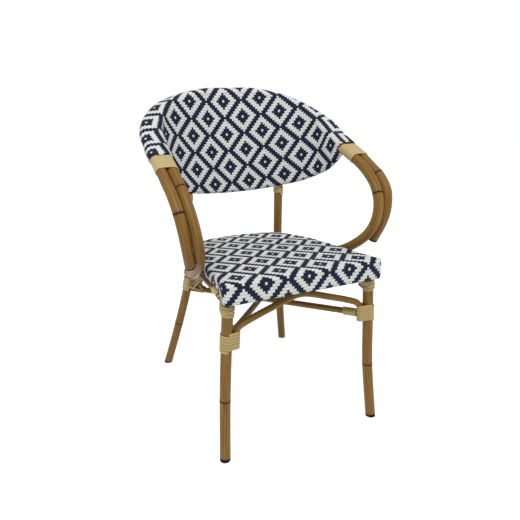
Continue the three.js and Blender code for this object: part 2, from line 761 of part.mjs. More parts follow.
const barEase = pocketRound * (1 - Math.SQRT1_2);
const barLow = new THREE.Vector3(-(seatFront.x - seatCornerRadius - seatPlate),
  seatFront.y + pocketInset + barEase,
  -(seatPlate + 2 * ringDiameter + 2 * fitGap) + barEase);
const barHigh = new THREE.Vector3(seatFront.x - seatCornerRadius - seatPlate, apronBack - pocketInset,
  -(seatPlate + ringDiameter + 2 * fitGap));
add('seat_apron_bar', 'wood', geometryOf(cut(solid(onSeat(box(barLow, barHigh))), ...pinRooms)));

// Screws through the rear legs into the ring
const ringWorld = ringPoints.map((point) => point.clone().applyMatrix4(seatMatrix));
const postAtRing = atHeight(rearLegPoints, ringWorld[0].z);
const ringNear = smooth(ringWorld).getPoints(fineSteps)
  .reduce((best, point) => (point.distanceTo(postAtRing) < best.distanceTo(postAtRing) ? point : best));
const screwHeading = ringNear.clone().sub(postAtRing).setZ(0).normalize();
const screwFace = postAtRing.clone().addScaledVector(screwHeading, -(legRadius + fitGap));
const screwTip = ringNear.clone().setZ(postAtRing.z);
const headPoints = [screwFace.clone().addScaledVector(screwHeading, -screwHeadThickness), screwFace];
const screw = solid(bar([headPoints[0], screwTip], screwDiameter / 2, braceSides))
  .add(solid(bar(headPoints, screwHeadDiameter / 2, braceSides)));
addPair('post_screw', 'steel', geometryOf(screw));
const screwRoomPoints = [headPoints[0], screwTip.clone().addScaledVector(screwHeading, fitGap)];
const screwRooms = [room(screwRoomPoints, screwDiameter / 2, braceSides)];
screwRooms.push(solid(mirrored(geometryOf(screwRooms[0]))));

add('seat_frame_ring', 'innerTube', geometryOf(cut(
  solid(onSeat(tube(ringPoints, ringRadius, railSides))), ...screwRooms)));
const seatShell = seated(cut(seatBody, seatPocket, seatWindow));
const seatSkin = cut(seatShell, ...rearLegRooms, ...pinRooms, ...screwRooms);
add('seat_weave', 'weave', geometryOf(seatSkin));

addPair('front_leg', 'bamboo', geometryOf(cut(solid(tube(frontLegPoints, legRadius)), aboveLegs)));
const rearLegBody = cut(solid(tube(rearLegPoints, legRadius)), ...rimRooms, screwRooms[0]);
addPair('rear_leg', 'bamboo', geometryOf(rearLegBody));

// Glides, cut flat where they meet the floor
function glide([end, next]) {
  const outwards = end.clone().sub(next).normalize();
  const low = new THREE.Vector3(-overallWidth, -overallDepth, -seatHeight);
  const high = new THREE.Vector3(overallWidth, overallDepth, 0);
  const body = solid(plug(end, outwards, legRadius, 2 * glideThickness));
  return geometryOf(cut(body, solid(box(low, high))));
}

addPair('foot_glide_front', 'plastic', glide(frontLegPoints));
addPair('foot_glide_rear', 'plastic', glide(rearLegPoints));

// Lashings on the legs
const pitch = strandBreadth + strandGap;
const stubOffset = legRadius + braceRadius + 2 * fitGap;
const inwards = new THREE.Vector3(-1, 0, 0);
const backwards = new THREE.Vector3(0, 1, 0);
const legCircle = { x: 0, y: 0, radius: legRadius };
const stubTurn = Math.acos((legRadius - braceRadius) / stubOffset) + Math.PI / pairWrapSteps;
const stubCircle = { x: stubOffset, y: 0, radius: braceRadius };
const cane = {
  pitch,
  breadth: strandBreadth,
  thickness: strandThickness,
  steps: wrapSteps,
  sides: 4,
  startAngle: Math.PI / 2,
};
const frontLashing = {
  ...cane,
  name: 'front_leg_lashing',
  route: frontLegPoints,
  from: lengthAtHeight(frontLegPoints, heightAt(frontLashingShare)),
  turns: frontLashingTurns,
  circles: [legCircle, stubCircle],
  sideOf: () => inwards.clone(),
  steps: pairWrapSteps,
  startAngle: stubTurn,
};
const seatLashing = {
  ...frontLashing,
  name: 'seat_lashing',
  from: lengthAtHeight(frontLegPoints, legTop.z - seatLashingDrop),
  turns: seatLashingTurns,
  sideOf: () => backwards.clone(),
};
const rearLashing = {
  ...cane,
  name: 'rear_lashing',
  route: rearLegPoints,
  from: lengthAtHeight(rearLegPoints, heightAt(rearLashingShare)),
  turns: rearLashingTurns,
  circles: [legCircle],
  sideOf: () => inwards.clone(),
};
const postWrap = {
  ...rearLashing,
  name: 'post_wrap',
  from: lengthAtHeight(rearLegPoints, heightAt(postWrapShare)),
  turns: postWrapTurns,
};
[frontLashing, seatLashing, rearLashing, postWrap].forEach((lashing) => {
  addPair(lashing.name, 'cane', winding(lashing));
});

// A point beside the front leg, where a tube that is lashed to it runs
function besideLeg(length, heading, offset = stubOffset) {
  const runs = straightRuns(frontLegPoints);
  const { centre, side } = frameAt(runs, length, () => heading.clone(), strandBreadth);
  return centre.addScaledVector(side, offset);
}

// The foot and top of a tube's straight end under a lashing
function stubPoints(lashing, heading) {
  const { from, turns, pitch, breadth } = lashing;
  return [from + breadth / 2, from + turns * pitch + breadth]
    .map((length) => besideLeg(length, heading));
}

// The arch between the front legs, its ends turned down along them under the lashings
const [archFoot, archTurn] = stubPoints(frontLashing, inwards);
const archRight = [archTurn, ...archShares.map(place)];
const arch = smooth([...archRight, ...archRight.slice(0, -1).reverse().map(mirrorPoint)]);
const archSteps = 24;
add('front_arch_brace', 'bamboo', tube([archFoot, ...stations(arch, archSteps), mirrorPoint(archFoot)],
  braceRadius, braceSides));

// Side braces, from the rear legs to straight ends behind the front legs
const [braceFoot, braceTurn] = stubPoints(seatLashing, backwards);
const braceJoin = atHeight(rearLegPoints, heightAt(braceJoinShare));
const braceCurve = smooth([braceJoin, ...sideBraceShares.map(place), braceTurn]);
const sideBraceSteps = 11;
const sideBracePoints = [...stations(braceCurve, sideBraceSteps), braceFoot];
addPair('side_brace', 'bamboo', coped(tube(sideBracePoints, braceRadius, braceSides), rearLegRoom));
const braceWrap = {
  ...cane,
  name: 'brace_wrap',
  route: sideBracePoints,
  from: braceWrapShare * braceCurve.getLength(),
  turns: braceWrapTurns,
  circles: [{ x: 0, y: 0, radius: braceRadius }],
  sideOf: () => inwards.clone(),
  thickness: flatStrandThickness,
};
addPair('brace_wrap', 'cane', winding(braceWrap));

// Diagonals: one runs through, the other is in two halves coped to it
const lashingRooms = [geometryOf(lashingRoom(frontLashing)), geometryOf(lashingRoom(rearLashing))];
const diagonalRooms = [...lashingRooms, ...lashingRooms.map(mirrored)].map(solid);

// Midway between a front leg and the arch's end beside it
function frontAnchor(share) {
  return besideLeg(lengthAtHeight(frontLegPoints, heightAt(share)), inwards, stubOffset / 2);
}

const throughPoints = [frontAnchor(throughFrontShare),
  mirrorPoint(atHeight(rearLegPoints, heightAt(throughRearShare)))];
const [throughFront, throughRear] = throughPoints;
const crossing = throughFront.clone().lerp(throughRear, throughFront.x / (throughFront.x - throughRear.x));
const halfPoints = [mirrorPoint(frontAnchor(halfFrontShare)),
  atHeight(rearLegPoints, heightAt(halfRearShare))];
const throughTube = tube(throughPoints, braceRadius, braceSides);
add('diagonal_brace_through', 'bamboo', coped(throughTube, ...diagonalRooms));
['front', 'rear'].forEach((end, i) => {
  const body = coped(tube([halfPoints[i], crossing], braceRadius, braceSides), ...diagonalRooms,
    room(throughPoints, braceRadius, braceSides));
  add(`diagonal_brace_${end}_half`, 'bamboo', body);
});

const sleeved = [['right', throughPoints[0], throughPoints[1]], ['left', halfPoints[0], crossing]];
sleeved.forEach(([side, front, rear]) => {
  const heading = rear.clone().sub(front).normalize();
  const points = [front, front.clone().addScaledVector(heading, sleeveLength + stubOffset)];
  const bore = roundSection((braceRadius + fitGap) / Math.cos(Math.PI / braceSides), braceSides);
  const sleeve = sweep(points, roundSection(sleeveDiameter / 2, tubeSides), bore);
  add(`diagonal_sleeve_${side}`, 'cane', coped(sleeve, ...diagonalRooms));
});

// Stand the chair over the origin
const reach = new THREE.Box3().setFromObject(chair);
chair.position.set(-(reach.min.x + reach.max.x) / 2, -(reach.min.y + reach.max.y) / 2, -reach.min.z);

export default chair;
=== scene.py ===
# A rattan bistro armchair, +Z up, its front towards -Y. Shapes are worked out in
# millimetres in the part's frame and turned into metres as each mesh is made.
import math

import bmesh
import bpy
import numpy as np
from mathutils import Matrix, Vector


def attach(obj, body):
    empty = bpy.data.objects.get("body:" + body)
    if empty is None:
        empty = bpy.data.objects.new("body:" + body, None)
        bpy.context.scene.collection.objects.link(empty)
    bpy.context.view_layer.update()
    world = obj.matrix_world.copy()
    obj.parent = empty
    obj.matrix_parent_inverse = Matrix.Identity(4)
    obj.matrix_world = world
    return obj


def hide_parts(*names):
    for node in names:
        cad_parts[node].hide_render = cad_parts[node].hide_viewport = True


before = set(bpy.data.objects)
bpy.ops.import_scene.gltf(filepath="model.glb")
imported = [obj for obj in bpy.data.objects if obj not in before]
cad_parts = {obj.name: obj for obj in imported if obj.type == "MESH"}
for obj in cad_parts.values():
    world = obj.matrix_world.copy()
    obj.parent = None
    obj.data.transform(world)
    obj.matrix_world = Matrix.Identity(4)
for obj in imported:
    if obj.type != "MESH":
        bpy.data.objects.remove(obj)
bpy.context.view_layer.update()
metre = 0.001


# An object in the scene, made from its data
def placed(name, data):
    made = bpy.data.objects.new(name, data)
    bpy.context.scene.collection.objects.link(made)
    return made


# Camera, worked out from the photograph
lens = {"place": (-0.4929, -1.1159, 0.7556), "yaw": -20.64, "pitch": 16.438, "roll": -2.593,
        "length": 31.016, "shiftX": 0.0538, "shiftY": 0.0071, "sensor": 36, "nearest": 0.01}


def addCamera():
    yaw, pitch, roll = (math.radians(lens[key]) for key in ("yaw", "pitch", "roll"))
    back = Vector((math.sin(yaw) * math.cos(pitch), -math.cos(yaw) * math.cos(pitch), math.sin(pitch)))
    level = Vector((math.cos(yaw), math.sin(yaw), 0))
    above = back.cross(level)
    right = level * math.cos(roll) + above * math.sin(roll)
    up = above * math.cos(roll) - level * math.sin(roll)
    data = bpy.data.cameras.new("camera")
    data.lens = lens["length"]
    data.sensor_width = lens["sensor"]
    data.shift_x = lens["shiftX"]
    data.shift_y = lens["shiftY"]
    data.clip_start = lens["nearest"]
    camera = placed("camera", data)
    turn = Matrix((right, up, back)).transposed().to_4x4()
    camera.matrix_world = Matrix.Translation(lens["place"]) @ turn
    bpy.context.scene.camera = camera


addCamera()
print("camera placed")


# Materials
class Shader:
    def __init__(self, name):
        self.material = bpy.data.materials.new(name)
        self.material.use_nodes = True
        self.tree = self.material.node_tree
        self.surface = self.tree.nodes["Principled BSDF"]

    # A new node with its settings, and its sockets fed by links or plain values
    def node(self, kind, settings=None, **feeds):
        made = self.tree.nodes.new("ShaderNode" + kind)
        for key, value in (settings or {}).items():
            setattr(made, key, value)
        for key, value in feeds.items():
            self.feed(made, key.replace("_", " "), value)
        return made

    def feed(self, made, socket, value):
        spot = made.inputs[int(socket[1:])] if socket[1:].isdigit() else made.inputs[socket]
        if isinstance(value, bpy.types.NodeSocket):
            self.tree.links.new(value, spot)
        elif spot.type == "RGBA":
            spot.default_value = (*value, 1)
        else:
            spot.default_value = value

    def attribute(self, name, output="Fac"):
        return self.node("Attribute", {"attribute_name": name}).outputs[output]

    # A vector stretched by its own amount along each axis
    def stretched(self, vector, amounts):
        return self.node("Mapping", Vector=vector, Scale=amounts).outputs[0]

    def noise(self, vector, detail=3.0, roughness=0.5):
        made = self.node("TexNoise", Vector=vector, Scale=1.0, Detail=detail, Roughness=roughness)
        return made.outputs[0]

    def ramp(self, factor, *stops):
        made = self.node("ValToRGB", Fac=factor)
        points = made.color_ramp.elements
        while len(points) < len(stops):
            points.new(0.5)
        for point, (place, colour) in zip(points, stops):
            point.position = place
            point.color = (*colour, 1)
        return made.outputs[0]

    def mix(self, factor, first, second, blend="MIX"):
        return self.node("MixRGB", {"blend_type": blend}, Fac=factor, Color1=first, Color2=second).outputs[0]

    def maths(self, operation, first, second):
        return self.node("Math", {"operation": operation}, _0=first, _1=second).outputs[0]

    def ranged(self, value, low, high):
        return self.node("MapRange", Value=value, To_Min=low, To_Max=high).outputs[0]

    def bump(self, height, strength, distance):
        made = self.node("Bump", Height=height, Strength=strength, Distance=distance)
        self.feed(self.surface, "Normal", made.outputs[0])

    def finish(self, **values):
        for key, value in values.items():
            self.feed(self.surface, key.replace("_", " "), value)
        return self.material


# Aluminium tube painted like bamboo: streaks along it and a dark ring at each node
def bambooPaint(name, dark, tan, light, mark):
    shader = Shader(name)
    grain = shader.attribute("grain", "Vector")
    streaks = shader.noise(shader.stretched(grain, (0.55, 0.55, 0.012)), 4.0, 0.6)
    broad = shader.noise(shader.stretched(grain, (0.09, 0.09, 0.006)), 2.0)
    painted = shader.ramp(streaks, (0.3, dark), (0.5, tan), (0.72, light))
    painted = shader.mix(shader.maths("MULTIPLY", broad, 0.5), painted, dark)
    ringed = shader.mix(shader.attribute("nearRing"), painted, mark)
    shader.bump(streaks, 0.12, 0.0004)
    rough = shader.ranged(broad, 0.36, 0.52)
    return shader.finish(Base_Color=ringed, Roughness=rough, Specular_IOR_Level=0.22)


# Flat woven strands, navy ones lengthwise and cream ones crosswise, with painted shade in the grooves between
# them
def wovenStrands(name, navy, navyStreak, cream, creamShade, grooveShade, creamGrooveShade):
    shader = Shader(name)
    uv = shader.node("UVMap", {"uv_map": "strand"}).outputs[0]
    fine = shader.noise(shader.stretched(uv, (1.6, 0.03, 1)), 3.0, 0.6)
    patch = shader.noise(shader.stretched(uv, (0.05, 0.035, 1)), 2.0)
    blue = shader.ramp(fine, (0.35, navy), (0.75, navyStreak))
    pale = shader.ramp(fine, (0.25, creamShade), (0.6, cream))
    pale = shader.mix(shader.maths("MULTIPLY", patch, 0.45), pale, creamShade)
    woven = shader.mix(shader.attribute("cream"), blue, pale)
    # Painted shade: points low in the grooves between strands are multiplied towards a dark tint, a lighter
    # one on cream strands
    depth = shader.ranged(shader.attribute("high"), 0.95, 0.0)
    gaps = shader.mix(shader.attribute("cream"), grooveShade, tuple(1 - (1 - part) * creamGrooveShade for part in grooveShade))
    woven = shader.mix(depth, woven, gaps, "MULTIPLY")
    shader.bump(fine, 0.15, 0.0002)
    return shader.finish(Base_Color=woven, Roughness=0.55, Specular_IOR_Level=0.12)


# Smooth cane strands with fine fibres along them
def caneStrands(name, pale, shade):
    shader = Shader(name)
    grain = shader.attribute("grain", "Vector")
    fibres = shader.noise(shader.stretched(grain, (2.2, 2.2, 0.04)), 3.0, 0.6)
    patch = shader.noise(shader.stretched(grain, (0.1, 0.1, 0.03)), 2.0)
    colour = shader.ramp(fibres, (0.3, shade), (0.65, pale))
    colour = shader.mix(shader.maths("MULTIPLY", patch, 0.4), colour, shade)
    shader.bump(fibres, 0.15, 0.0002)
    return shader.finish(Base_Color=colour, Roughness=0.42)


# Moulded, bare metal or wooden finishes that read the object's own coordinates
def plainFinish(name, low, high, roughness, metallic=0.0, stretch=(60, 60, 60), gloss=0.5, spread=0.08):
    shader = Shader(name)
    place = shader.node("TexCoord").outputs["Object"]
    grain = shader.noise(shader.stretched(place, stretch), 5.0, 0.6)
    colour = shader.ramp(grain, (0.3, low), (0.7, high))
    rough = shader.ranged(grain, roughness - spread, roughness + spread)
    shader.bump(grain, 0.1, 0.0003)
    return shader.finish(Base_Color=colour, Roughness=rough, Metallic=metallic, Specular_IOR_Level=gloss)


paint = {"dark": (0.12, 0.056, 0.010), "tan": (0.24, 0.122, 0.021), "light": (0.40, 0.25, 0.068),
         "mark": (0.014, 0.006, 0.003)}
# The last two tints are painted shade for the grooves between strands
strandTints = {"navy": (0.005, 0.010, 0.026), "navyStreak": (0.017, 0.033, 0.082),
               "cream": (0.74, 0.745, 0.73), "creamShade": (0.62, 0.63, 0.62), "grooveShade": (0.03, 0.03, 0.04),
               "creamGrooveShade": 0.26}
bamboo = bambooPaint("bamboo_paint", **paint)
cloth = wovenStrands("woven_strands", **strandTints)
cane = caneStrands("cane_strands", (0.6, 0.485, 0.235), (0.42, 0.31, 0.12))
# A darker copy of the cane strands for the wrap at the rear joint and the lacing under it: real strands,
# coloured darker as painted shade where they lie in shadow
paintedShadeCane = caneStrands("cane_strands_painted_shade", (0.26, 0.14, 0.045), (0.12, 0.055, 0.015))
darkCane = caneStrands("cane_strands_dark", (0.52, 0.40, 0.175), (0.34, 0.24, 0.085))
plastic = plainFinish("black_plastic", (0.002, 0.002, 0.002), (0.007, 0.007, 0.007), 0.5,
                      stretch=(900, 900, 900), gloss=0.12)
bareMetal = plainFinish("bare_metal", (0.16, 0.10, 0.06), (0.30, 0.22, 0.15), 0.5, 0.6, (40, 40, 40))
# Near-black finish for the strand in the back's crease: painted shade
creaseShadeFinish = plainFinish("crease_painted_shade", (0.004, 0.005, 0.008), (0.012, 0.014, 0.02), 0.6, gloss=0.15)
steel = plainFinish("zinc_steel", (0.45, 0.45, 0.46), (0.7, 0.7, 0.72), 0.35, 1.0, (200, 200, 200))
wood = plainFinish("softwood", (0.22, 0.13, 0.06), (0.42, 0.28, 0.14), 0.65, stretch=(3, 60, 60))
plainBamboo = plainFinish("bamboo_plain", paint["dark"], paint["light"], 0.45, stretch=(20, 20, 20))
print("materials made")


# Curves as runs of points, in millimetres
def smoothCurve(points, steps=40):
    knots = np.array(points, float)
    knots = np.vstack([2 * knots[0] - knots[1], knots, 2 * knots[-1] - knots[-2]])
    spans = []
    for before, start, end, after in zip(knots, knots[1:], knots[2:], knots[3:]):
        lead, middle, tail = (math.sqrt(np.linalg.norm(b - a)) for a, b in
                              ((before, start), (start, end), (end, after)))
        enter = ((start - before) / lead - (end - before) / (lead + middle) + (end - start) / middle) * middle
        leave = ((end - start) / middle - (after - start) / (middle + tail) + (after - end) / tail) * middle
        t = np.linspace(0, 1, steps, endpoint=False)[:, None]
        bend = (3 * (end - start) - 2 * enter - leave) * t ** 2 + (2 * (start - end) + enter + leave) * t ** 3
        spans.append(start + enter * t + bend)
    return np.vstack(spans + [knots[-2:-1]])


# Points from the right's end to the middle, carried on to the left as their mirror image
def bothSides(points):
    return points + [(-x, y, z) for x, y, z in points[-2::-1]]


def lengthsOf(run):
    return np.concatenate([[0], np.cumsum(np.linalg.norm(np.diff(run, axis=0), axis=1))])


def unit(vectors):
    return vectors / np.linalg.norm(vectors, axis=-1, keepdims=True)


def headings(run):
    return unit(np.gradient(run, axis=0))


# A table's columns, each read at the wanted places
def readAt(wanted, places, table):
    return np.column_stack([np.interp(wanted, places, column) for column in table.T])


# Points at given lengths along a run, carried straight on past its ends
def pointsAt(run, wanted):
    lengths = lengthsOf(run)
    wanted = np.atleast_1d(np.asarray(wanted, float))
    found = readAt(wanted, lengths, run)
    found += np.minimum(wanted, 0)[:, None] * unit(run[1] - run[0])
    return found + np.maximum(wanted - lengths[-1], 0)[:, None] * unit(run[-1] - run[-2])


def lengthAt(run, height):
    return float(np.interp(height, run[:, 2], lengthsOf(run)))


def atHeight(run, height):
    return pointsAt(run, lengthAt(run, height))[0]


# Level direction out to the side of a run, and the one square to it and the run
def levelSides(run):
    along = headings(run)
    side = unit(np.column_stack([along[:, 1], -along[:, 0], 0 * along[:, 0]]))
    return side, np.cross(side, along)


def sideways(run, distance):
    return run + levelSides(run)[0] * distance


def withSides(run):
    side, up = levelSides(run)
    return {"run": run, "lengths": lengthsOf(run), "side": side, "up": up}


# Meshes from stations: a closed skin round a run of section frames
def swept(section, centres, across, out, lengths, sizes=None, marks=None):
    mesh = bmesh.new()
    grain = mesh.verts.layers.float_vector.new("grain")
    ringMark = mesh.verts.layers.float.new("nearRing")
    loop = bmesh.ops.create_circle(mesh, segments=len(section), radius=1)["verts"]
    for vert, (x, y) in zip(loop, section):
        vert.co = (x, y, 0)
        vert[grain] = (x, y, 0)
    edges = mesh.edges[:]
    last = Matrix.Identity(4)
    for i, centre in enumerate(centres):
        size = 1 if sizes is None else float(sizes[i])
        along = np.cross(across[i], out[i])
        columns = np.column_stack([across[i] * size, out[i] * size, along, centre])
        here = Matrix(columns.tolist() + [[0, 0, 0, 1]])
        if i:
            made = bmesh.ops.extrude_edge_only(mesh, edges=edges)["geom"]
            loop = [item for item in made if isinstance(item, bmesh.types.BMVert)]
            edges = [item for item in made if isinstance(item, bmesh.types.BMEdge) and item.is_boundary]
        bmesh.ops.transform(mesh, matrix=here @ last.inverted(), verts=loop)
        for vert in loop:
            vert[grain] = (vert[grain].x, vert[grain].y, lengths[i])
            vert[ringMark] = 0 if marks is None else float(marks[i])
        last = here
    for face in mesh.faces:
        face.smooth = True
    bmesh.ops.holes_fill(mesh, edges=[edge for edge in mesh.edges if edge.is_boundary])
    bmesh.ops.recalc_face_normals(mesh, faces=mesh.faces)
    return mesh


def dataOf(name, mesh):
    data = bpy.data.meshes.new(name)
    mesh.to_mesh(data)
    mesh.free()
    return data


def addPiece(name, mesh, finish, slot, *replaced, scaled=False):
    if not scaled:
        bmesh.ops.scale(mesh, vec=(metre, metre, metre), verts=mesh.verts)
    data = dataOf(name, mesh)
    data.materials.append(finish)
    piece = placed(name, data)
    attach(piece, "root")
    if replaced:
        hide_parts(*replaced)
    return piece


# The mesh itself turned into its mirror image
def flipped(mesh):
    bmesh.ops.scale(mesh, vec=(-1, 1, 1), verts=mesh.verts)
    bmesh.ops.reverse_faces(mesh, faces=mesh.faces)
    return mesh


def addPair(name, mesh, finish, slot, *replaced):
    other = flipped(mesh.copy())
    addPiece(name + "_right", mesh, finish, slot, *[node + "_right" for node in replaced])
    addPiece(name + "_left", other, finish, slot, *[node + "_left" for node in replaced])


# Several meshes as one
def joined(meshes):
    whole = bmesh.new()
    for mesh in meshes:
        data = dataOf("part", mesh)
        whole.from_mesh(data)
        bpy.data.meshes.remove(data)
    return whole


# Tubes
tubes = {"leg": 13, "arm": 12.5, "brace": 8, "sides": 28, "step": 7, "pairSpread": 12.8,
         "ringSteps": (-7, -3, -1.3, -0.5, 0, 0.5, 1.3, 3, 7),
         "ringSwell": (0, 0.25, 0.5, -0.1, -0.5, -0.1, 0.5, 0.25, 0),
         "ringMark": (0, 0.1, 0.9, 1, 1, 1, 0.9, 0.1, 0)}


def roundSection(radius, sides):
    return [(radius * math.cos(2 * math.pi * i / sides), radius * math.sin(2 * math.pi * i / sides))
            for i in range(sides)]


# Directions across a run that turn as little as they can from one station to the next
def steadyFrames(run):
    along = headings(run)
    hint = np.array([0.0, 0.0, 1.0]) if abs(along[0][2]) < 0.9 else np.array([1.0, 0.0, 0.0])
    across = []
    for heading in along:
        hint = hint - heading * hint.dot(heading)
        hint = hint / np.linalg.norm(hint)
        across.append(hint)
    across = np.array(across)
    return across, np.cross(along, across)


def tube(run, radius, rings=(), phase=0.0):
    whole = lengthsOf(run)[-1]
    count = max(2, round(whole / tubes["step"]))
    stations = {float(at): (0.0, 0.0) for at in np.linspace(0, whole, count)}
    for ring in rings:
        stations = {at: marks for at, marks in stations.items() if abs(at - ring) > tubes["ringSteps"][-1]}
        for offset, swell, mark in zip(tubes["ringSteps"], tubes["ringSwell"], tubes["ringMark"]):
            stations[ring + offset] = (swell, mark)
    spots = sorted(at for at in stations if 0 <= at <= whole)
    points = pointsAt(run, spots)
    across, out = steadyFrames(points)
    sizes = [1 + stations[at][0] / radius for at in spots]
    marks = [stations[at][1] for at in spots]
    lengths = [at + phase for at in spots]
    return swept(roundSection(radius, tubes["sides"]), points, across, out, lengths, sizes, marks)


# A bamboo-look tube as a piece of its own, mirrored where it belongs on the left
def addTube(name, replaced, run, radius, rings=(), phase=0.0, flip=False):
    mesh = tube(run, radius, rings, phase)
    addPiece(name, flipped(mesh) if flip else mesh, bamboo, "bamboo_tube", replaced)


# Legs
legs = {"glide": 8, "frontTop": 400, "rearTop": 842, "frontRing": 156, "leftRing": 165}
frontRun = smoothCurve([
    (210.9, -260.7, 0), (199.9, -251.7, 156.2), (192.5, -255.2, 279.9), (183.7, -260.1, 410)])
rearRun = smoothCurve([
    (220.6, 277.3, 0), (197.9, 241.3, 99.9), (176.9, 206.4, 199.8), (159.9, 177.7, 289.8),
    (151.4, 164.3, 350.1), (147.4, 155.9, 410), (145.4, 147.8, 480.2), (146, 143.4, 560.1),
    (147.7, 141.7, 640), (149.1, 145.7, 759.8), (149.1, 154.7, 844.8)])


def stretchOf(run, low, high):
    lengths = lengthsOf(run)
    inside = (lengths > low + 0.5) & (lengths < high - 0.5)
    return np.vstack([pointsAt(run, low), run[inside], pointsAt(run, high)])


frontShown = stretchOf(frontRun, legs["glide"], lengthAt(frontRun, legs["frontTop"]))
addPair("front_leg_tube", tube(frontShown, tubes["leg"], [lengthAt(frontShown, legs["frontRing"])]),
        bamboo, "bamboo_tube", "front_leg")
rearShown = stretchOf(rearRun, legs["glide"], lengthAt(rearRun, legs["rearTop"]))
addTube("rear_leg_tube_right", "rear_leg_right", rearShown, tubes["leg"], phase=400)
addTube("rear_leg_tube_left", "rear_leg_left", rearShown, tubes["leg"],
        [lengthAt(rearShown, legs["leftRing"])], 900, True)

# The hoop's two tubes carry on as the armrests
rimRun = smoothCurve(bothSides([
    (258.3, -103.8, 675.7), (256.9, -5.9, 722.9), (249.5, 69.3, 772.2), (195.3, 133.5, 823.6),
    (88.7, 173.6, 856.3), (0, 186.1, 859.7)]))
rim = withSides(rimRun)
skinStart = 57
jointAt = 31.7
arms = {"overlap": 0.6, "outset": 25.6, "cut": 11}
armRings = {"inner": {"right": (593, 1500), "left": (641, 2100)},
            "outer": {"right": (635, 2700), "left": (595, 3300)}}


def besideRim(length, offset):
    return pointsAt(rimRun, length)[0] + readAt(length, rim["lengths"], rim["side"])[0] * offset


# One armrest tube from its joint under the binding
def armRun(offset, rest):
    return smoothCurve([besideRim(jointAt - arms["overlap"], offset), besideRim(0, offset), *rest])


armInnerRun = armRun(-tubes["pairSpread"], [
    (244.4, -157.3, 645.9), (242.4, -197.1, 611.9), (238.1, -218.6, 574.1), (231.6, -221.2, 532),
    (224, -203.2, 494.2), (215.5, -160.2, 458.1), (208.4, -92.2, 424.8), (190, 32.7, 387.9),
    tuple(atHeight(rearRun, 360))])
armInnerRising = armInnerRun[::-1]
outerRoute = ((-142.2, 653.2), (-181.1, 630.2), (-211.3, 597.1), (-220.3, 555), (-215.1, 521.8),
              (-195.3, 475.1))
armOuterRun = armRun(tubes["pairSpread"], [
    (atHeight(armInnerRising, z)[0] + arms["outset"], y, z) for y, z in outerRoute])
armInnerShown = stretchOf(armInnerRun, 0, lengthsOf(armInnerRun)[-1] - arms["cut"])
for kind, run in (("inner", armInnerShown), ("outer", armOuterRun)):
    for side, (height, phase) in armRings[kind].items():
        ring = lengthsOf(run)[-1] - lengthAt(run[::-1], height)
        addTube(f"arm_{kind}_run_{side}", f"arm_{kind}_tube_{side}", run, tubes["arm"], [ring], phase,
                side == "left")
print("legs and arms made")


# Caps and glides are turned from a profile of radius and height
def turned(profile, place, heading):
    mesh = bmesh.new()
    verts = [mesh.verts.new((radius, 0, height)) for radius, height in profile]
    for first, second in zip(verts, verts[1:]):
        mesh.edges.new((first, second))
    bmesh.ops.spin(mesh, geom=mesh.verts[:] + mesh.edges[:], axis=(0, 0, 1), cent=(0, 0, 0), steps=36,
                   angle=2 * math.pi, use_merge=True)
    bmesh.ops.remove_doubles(mesh, verts=mesh.verts, dist=0.01)
    bmesh.ops.recalc_face_normals(mesh, faces=mesh.faces)
    turn = Vector((0, 0, 1)).rotation_difference(Vector(heading)).to_matrix().to_4x4()
    bmesh.ops.transform(mesh, matrix=Matrix.Translation(place) @ turn, verts=mesh.verts)
    for face in mesh.faces:
        face.smooth = True
    return mesh


capProfile = [(0, -14), (10, -14), (10, 0.2), (12.3, 0.2), (12.5, 0.5), (12.5, 2.8), (12.1, 3.9), (11.2, 4.7),
              (9.8, 5), (0, 5.1)]
armHeading = unit(armOuterRun[-1] - armOuterRun[-12])
addPair("arm_cap", turned(capProfile, armOuterRun[-1], armHeading), plastic, "black_plastic", "arm_end_cap")
glideProfile = [(0, -14), (10, -14), (10, 0.2), (12.8, 0.2), (13, 0.5), (13, 20), (0, 20)]


def glide(run):
    heading = unit(run[0] - pointsAt(run, 12)[0])
    mesh = turned(glideProfile, run[0], heading)
    cutting = bmesh.ops.bisect_plane(mesh, geom=mesh.verts[:] + mesh.edges[:] + mesh.faces[:],
                                     plane_co=(0, 0, 0), plane_no=(0, 0, 1), clear_inner=True)["geom_cut"]
    cutEdges = [item for item in cutting if isinstance(item, bmesh.types.BMEdge)]
    bmesh.ops.edgeloop_fill(mesh, edges=cutEdges)
    bmesh.ops.bevel(mesh, geom=cutEdges, offset=0.9, segments=2, profile=0.5, affect="EDGES", material=-1)
    bmesh.ops.recalc_face_normals(mesh, faces=mesh.faces)
    return mesh


addPair("front_foot_glide", glide(frontShown), plastic, "black_plastic", "foot_glide_front")
addPair("rear_foot_glide", glide(rearShown), plastic, "black_plastic", "foot_glide_rear")

# Braces
strand = {"breadth": 6.6, "thickness": 2.4, "pitch": 7.2, "steps": 24}
flatStrand = {"breadth": 6.1, "thickness": 1.6, "pitch": 6.4, "steps": 24}
stub = {"offset": 21.6, "start": 3.3, "end": 6.4, "archDrop": 11, "braceRoom": 9}
inwards = np.array([-1.0, 0, 0])
backwards = np.array([0, 1.0, 0])
upwards = np.array([0, 0, 1.0])
flipX = np.array([-1, 1, 1])
frontLashing = {"start": lengthAt(frontRun, 284.3), "turns": 6}
seatLashing = {"start": lengthAt(frontRun, 368.6), "turns": 3}


def besideLeg(length, heading, offset=stub["offset"]):
    along = unit(pointsAt(frontRun, length + 6) - pointsAt(frontRun, length - 6))[0]
    side = unit(heading - along * heading.dot(along))
    return pointsAt(frontRun, length)[0] + side * offset


# The straight foot of a tube that is lashed to the leg
def stubEnds(lashing, heading):
    first = lashing["start"] + stub["start"]
    last = lashing["start"] + lashing["turns"] * strand["pitch"] + stub["end"]
    return besideLeg(first, heading), besideLeg(last, heading)


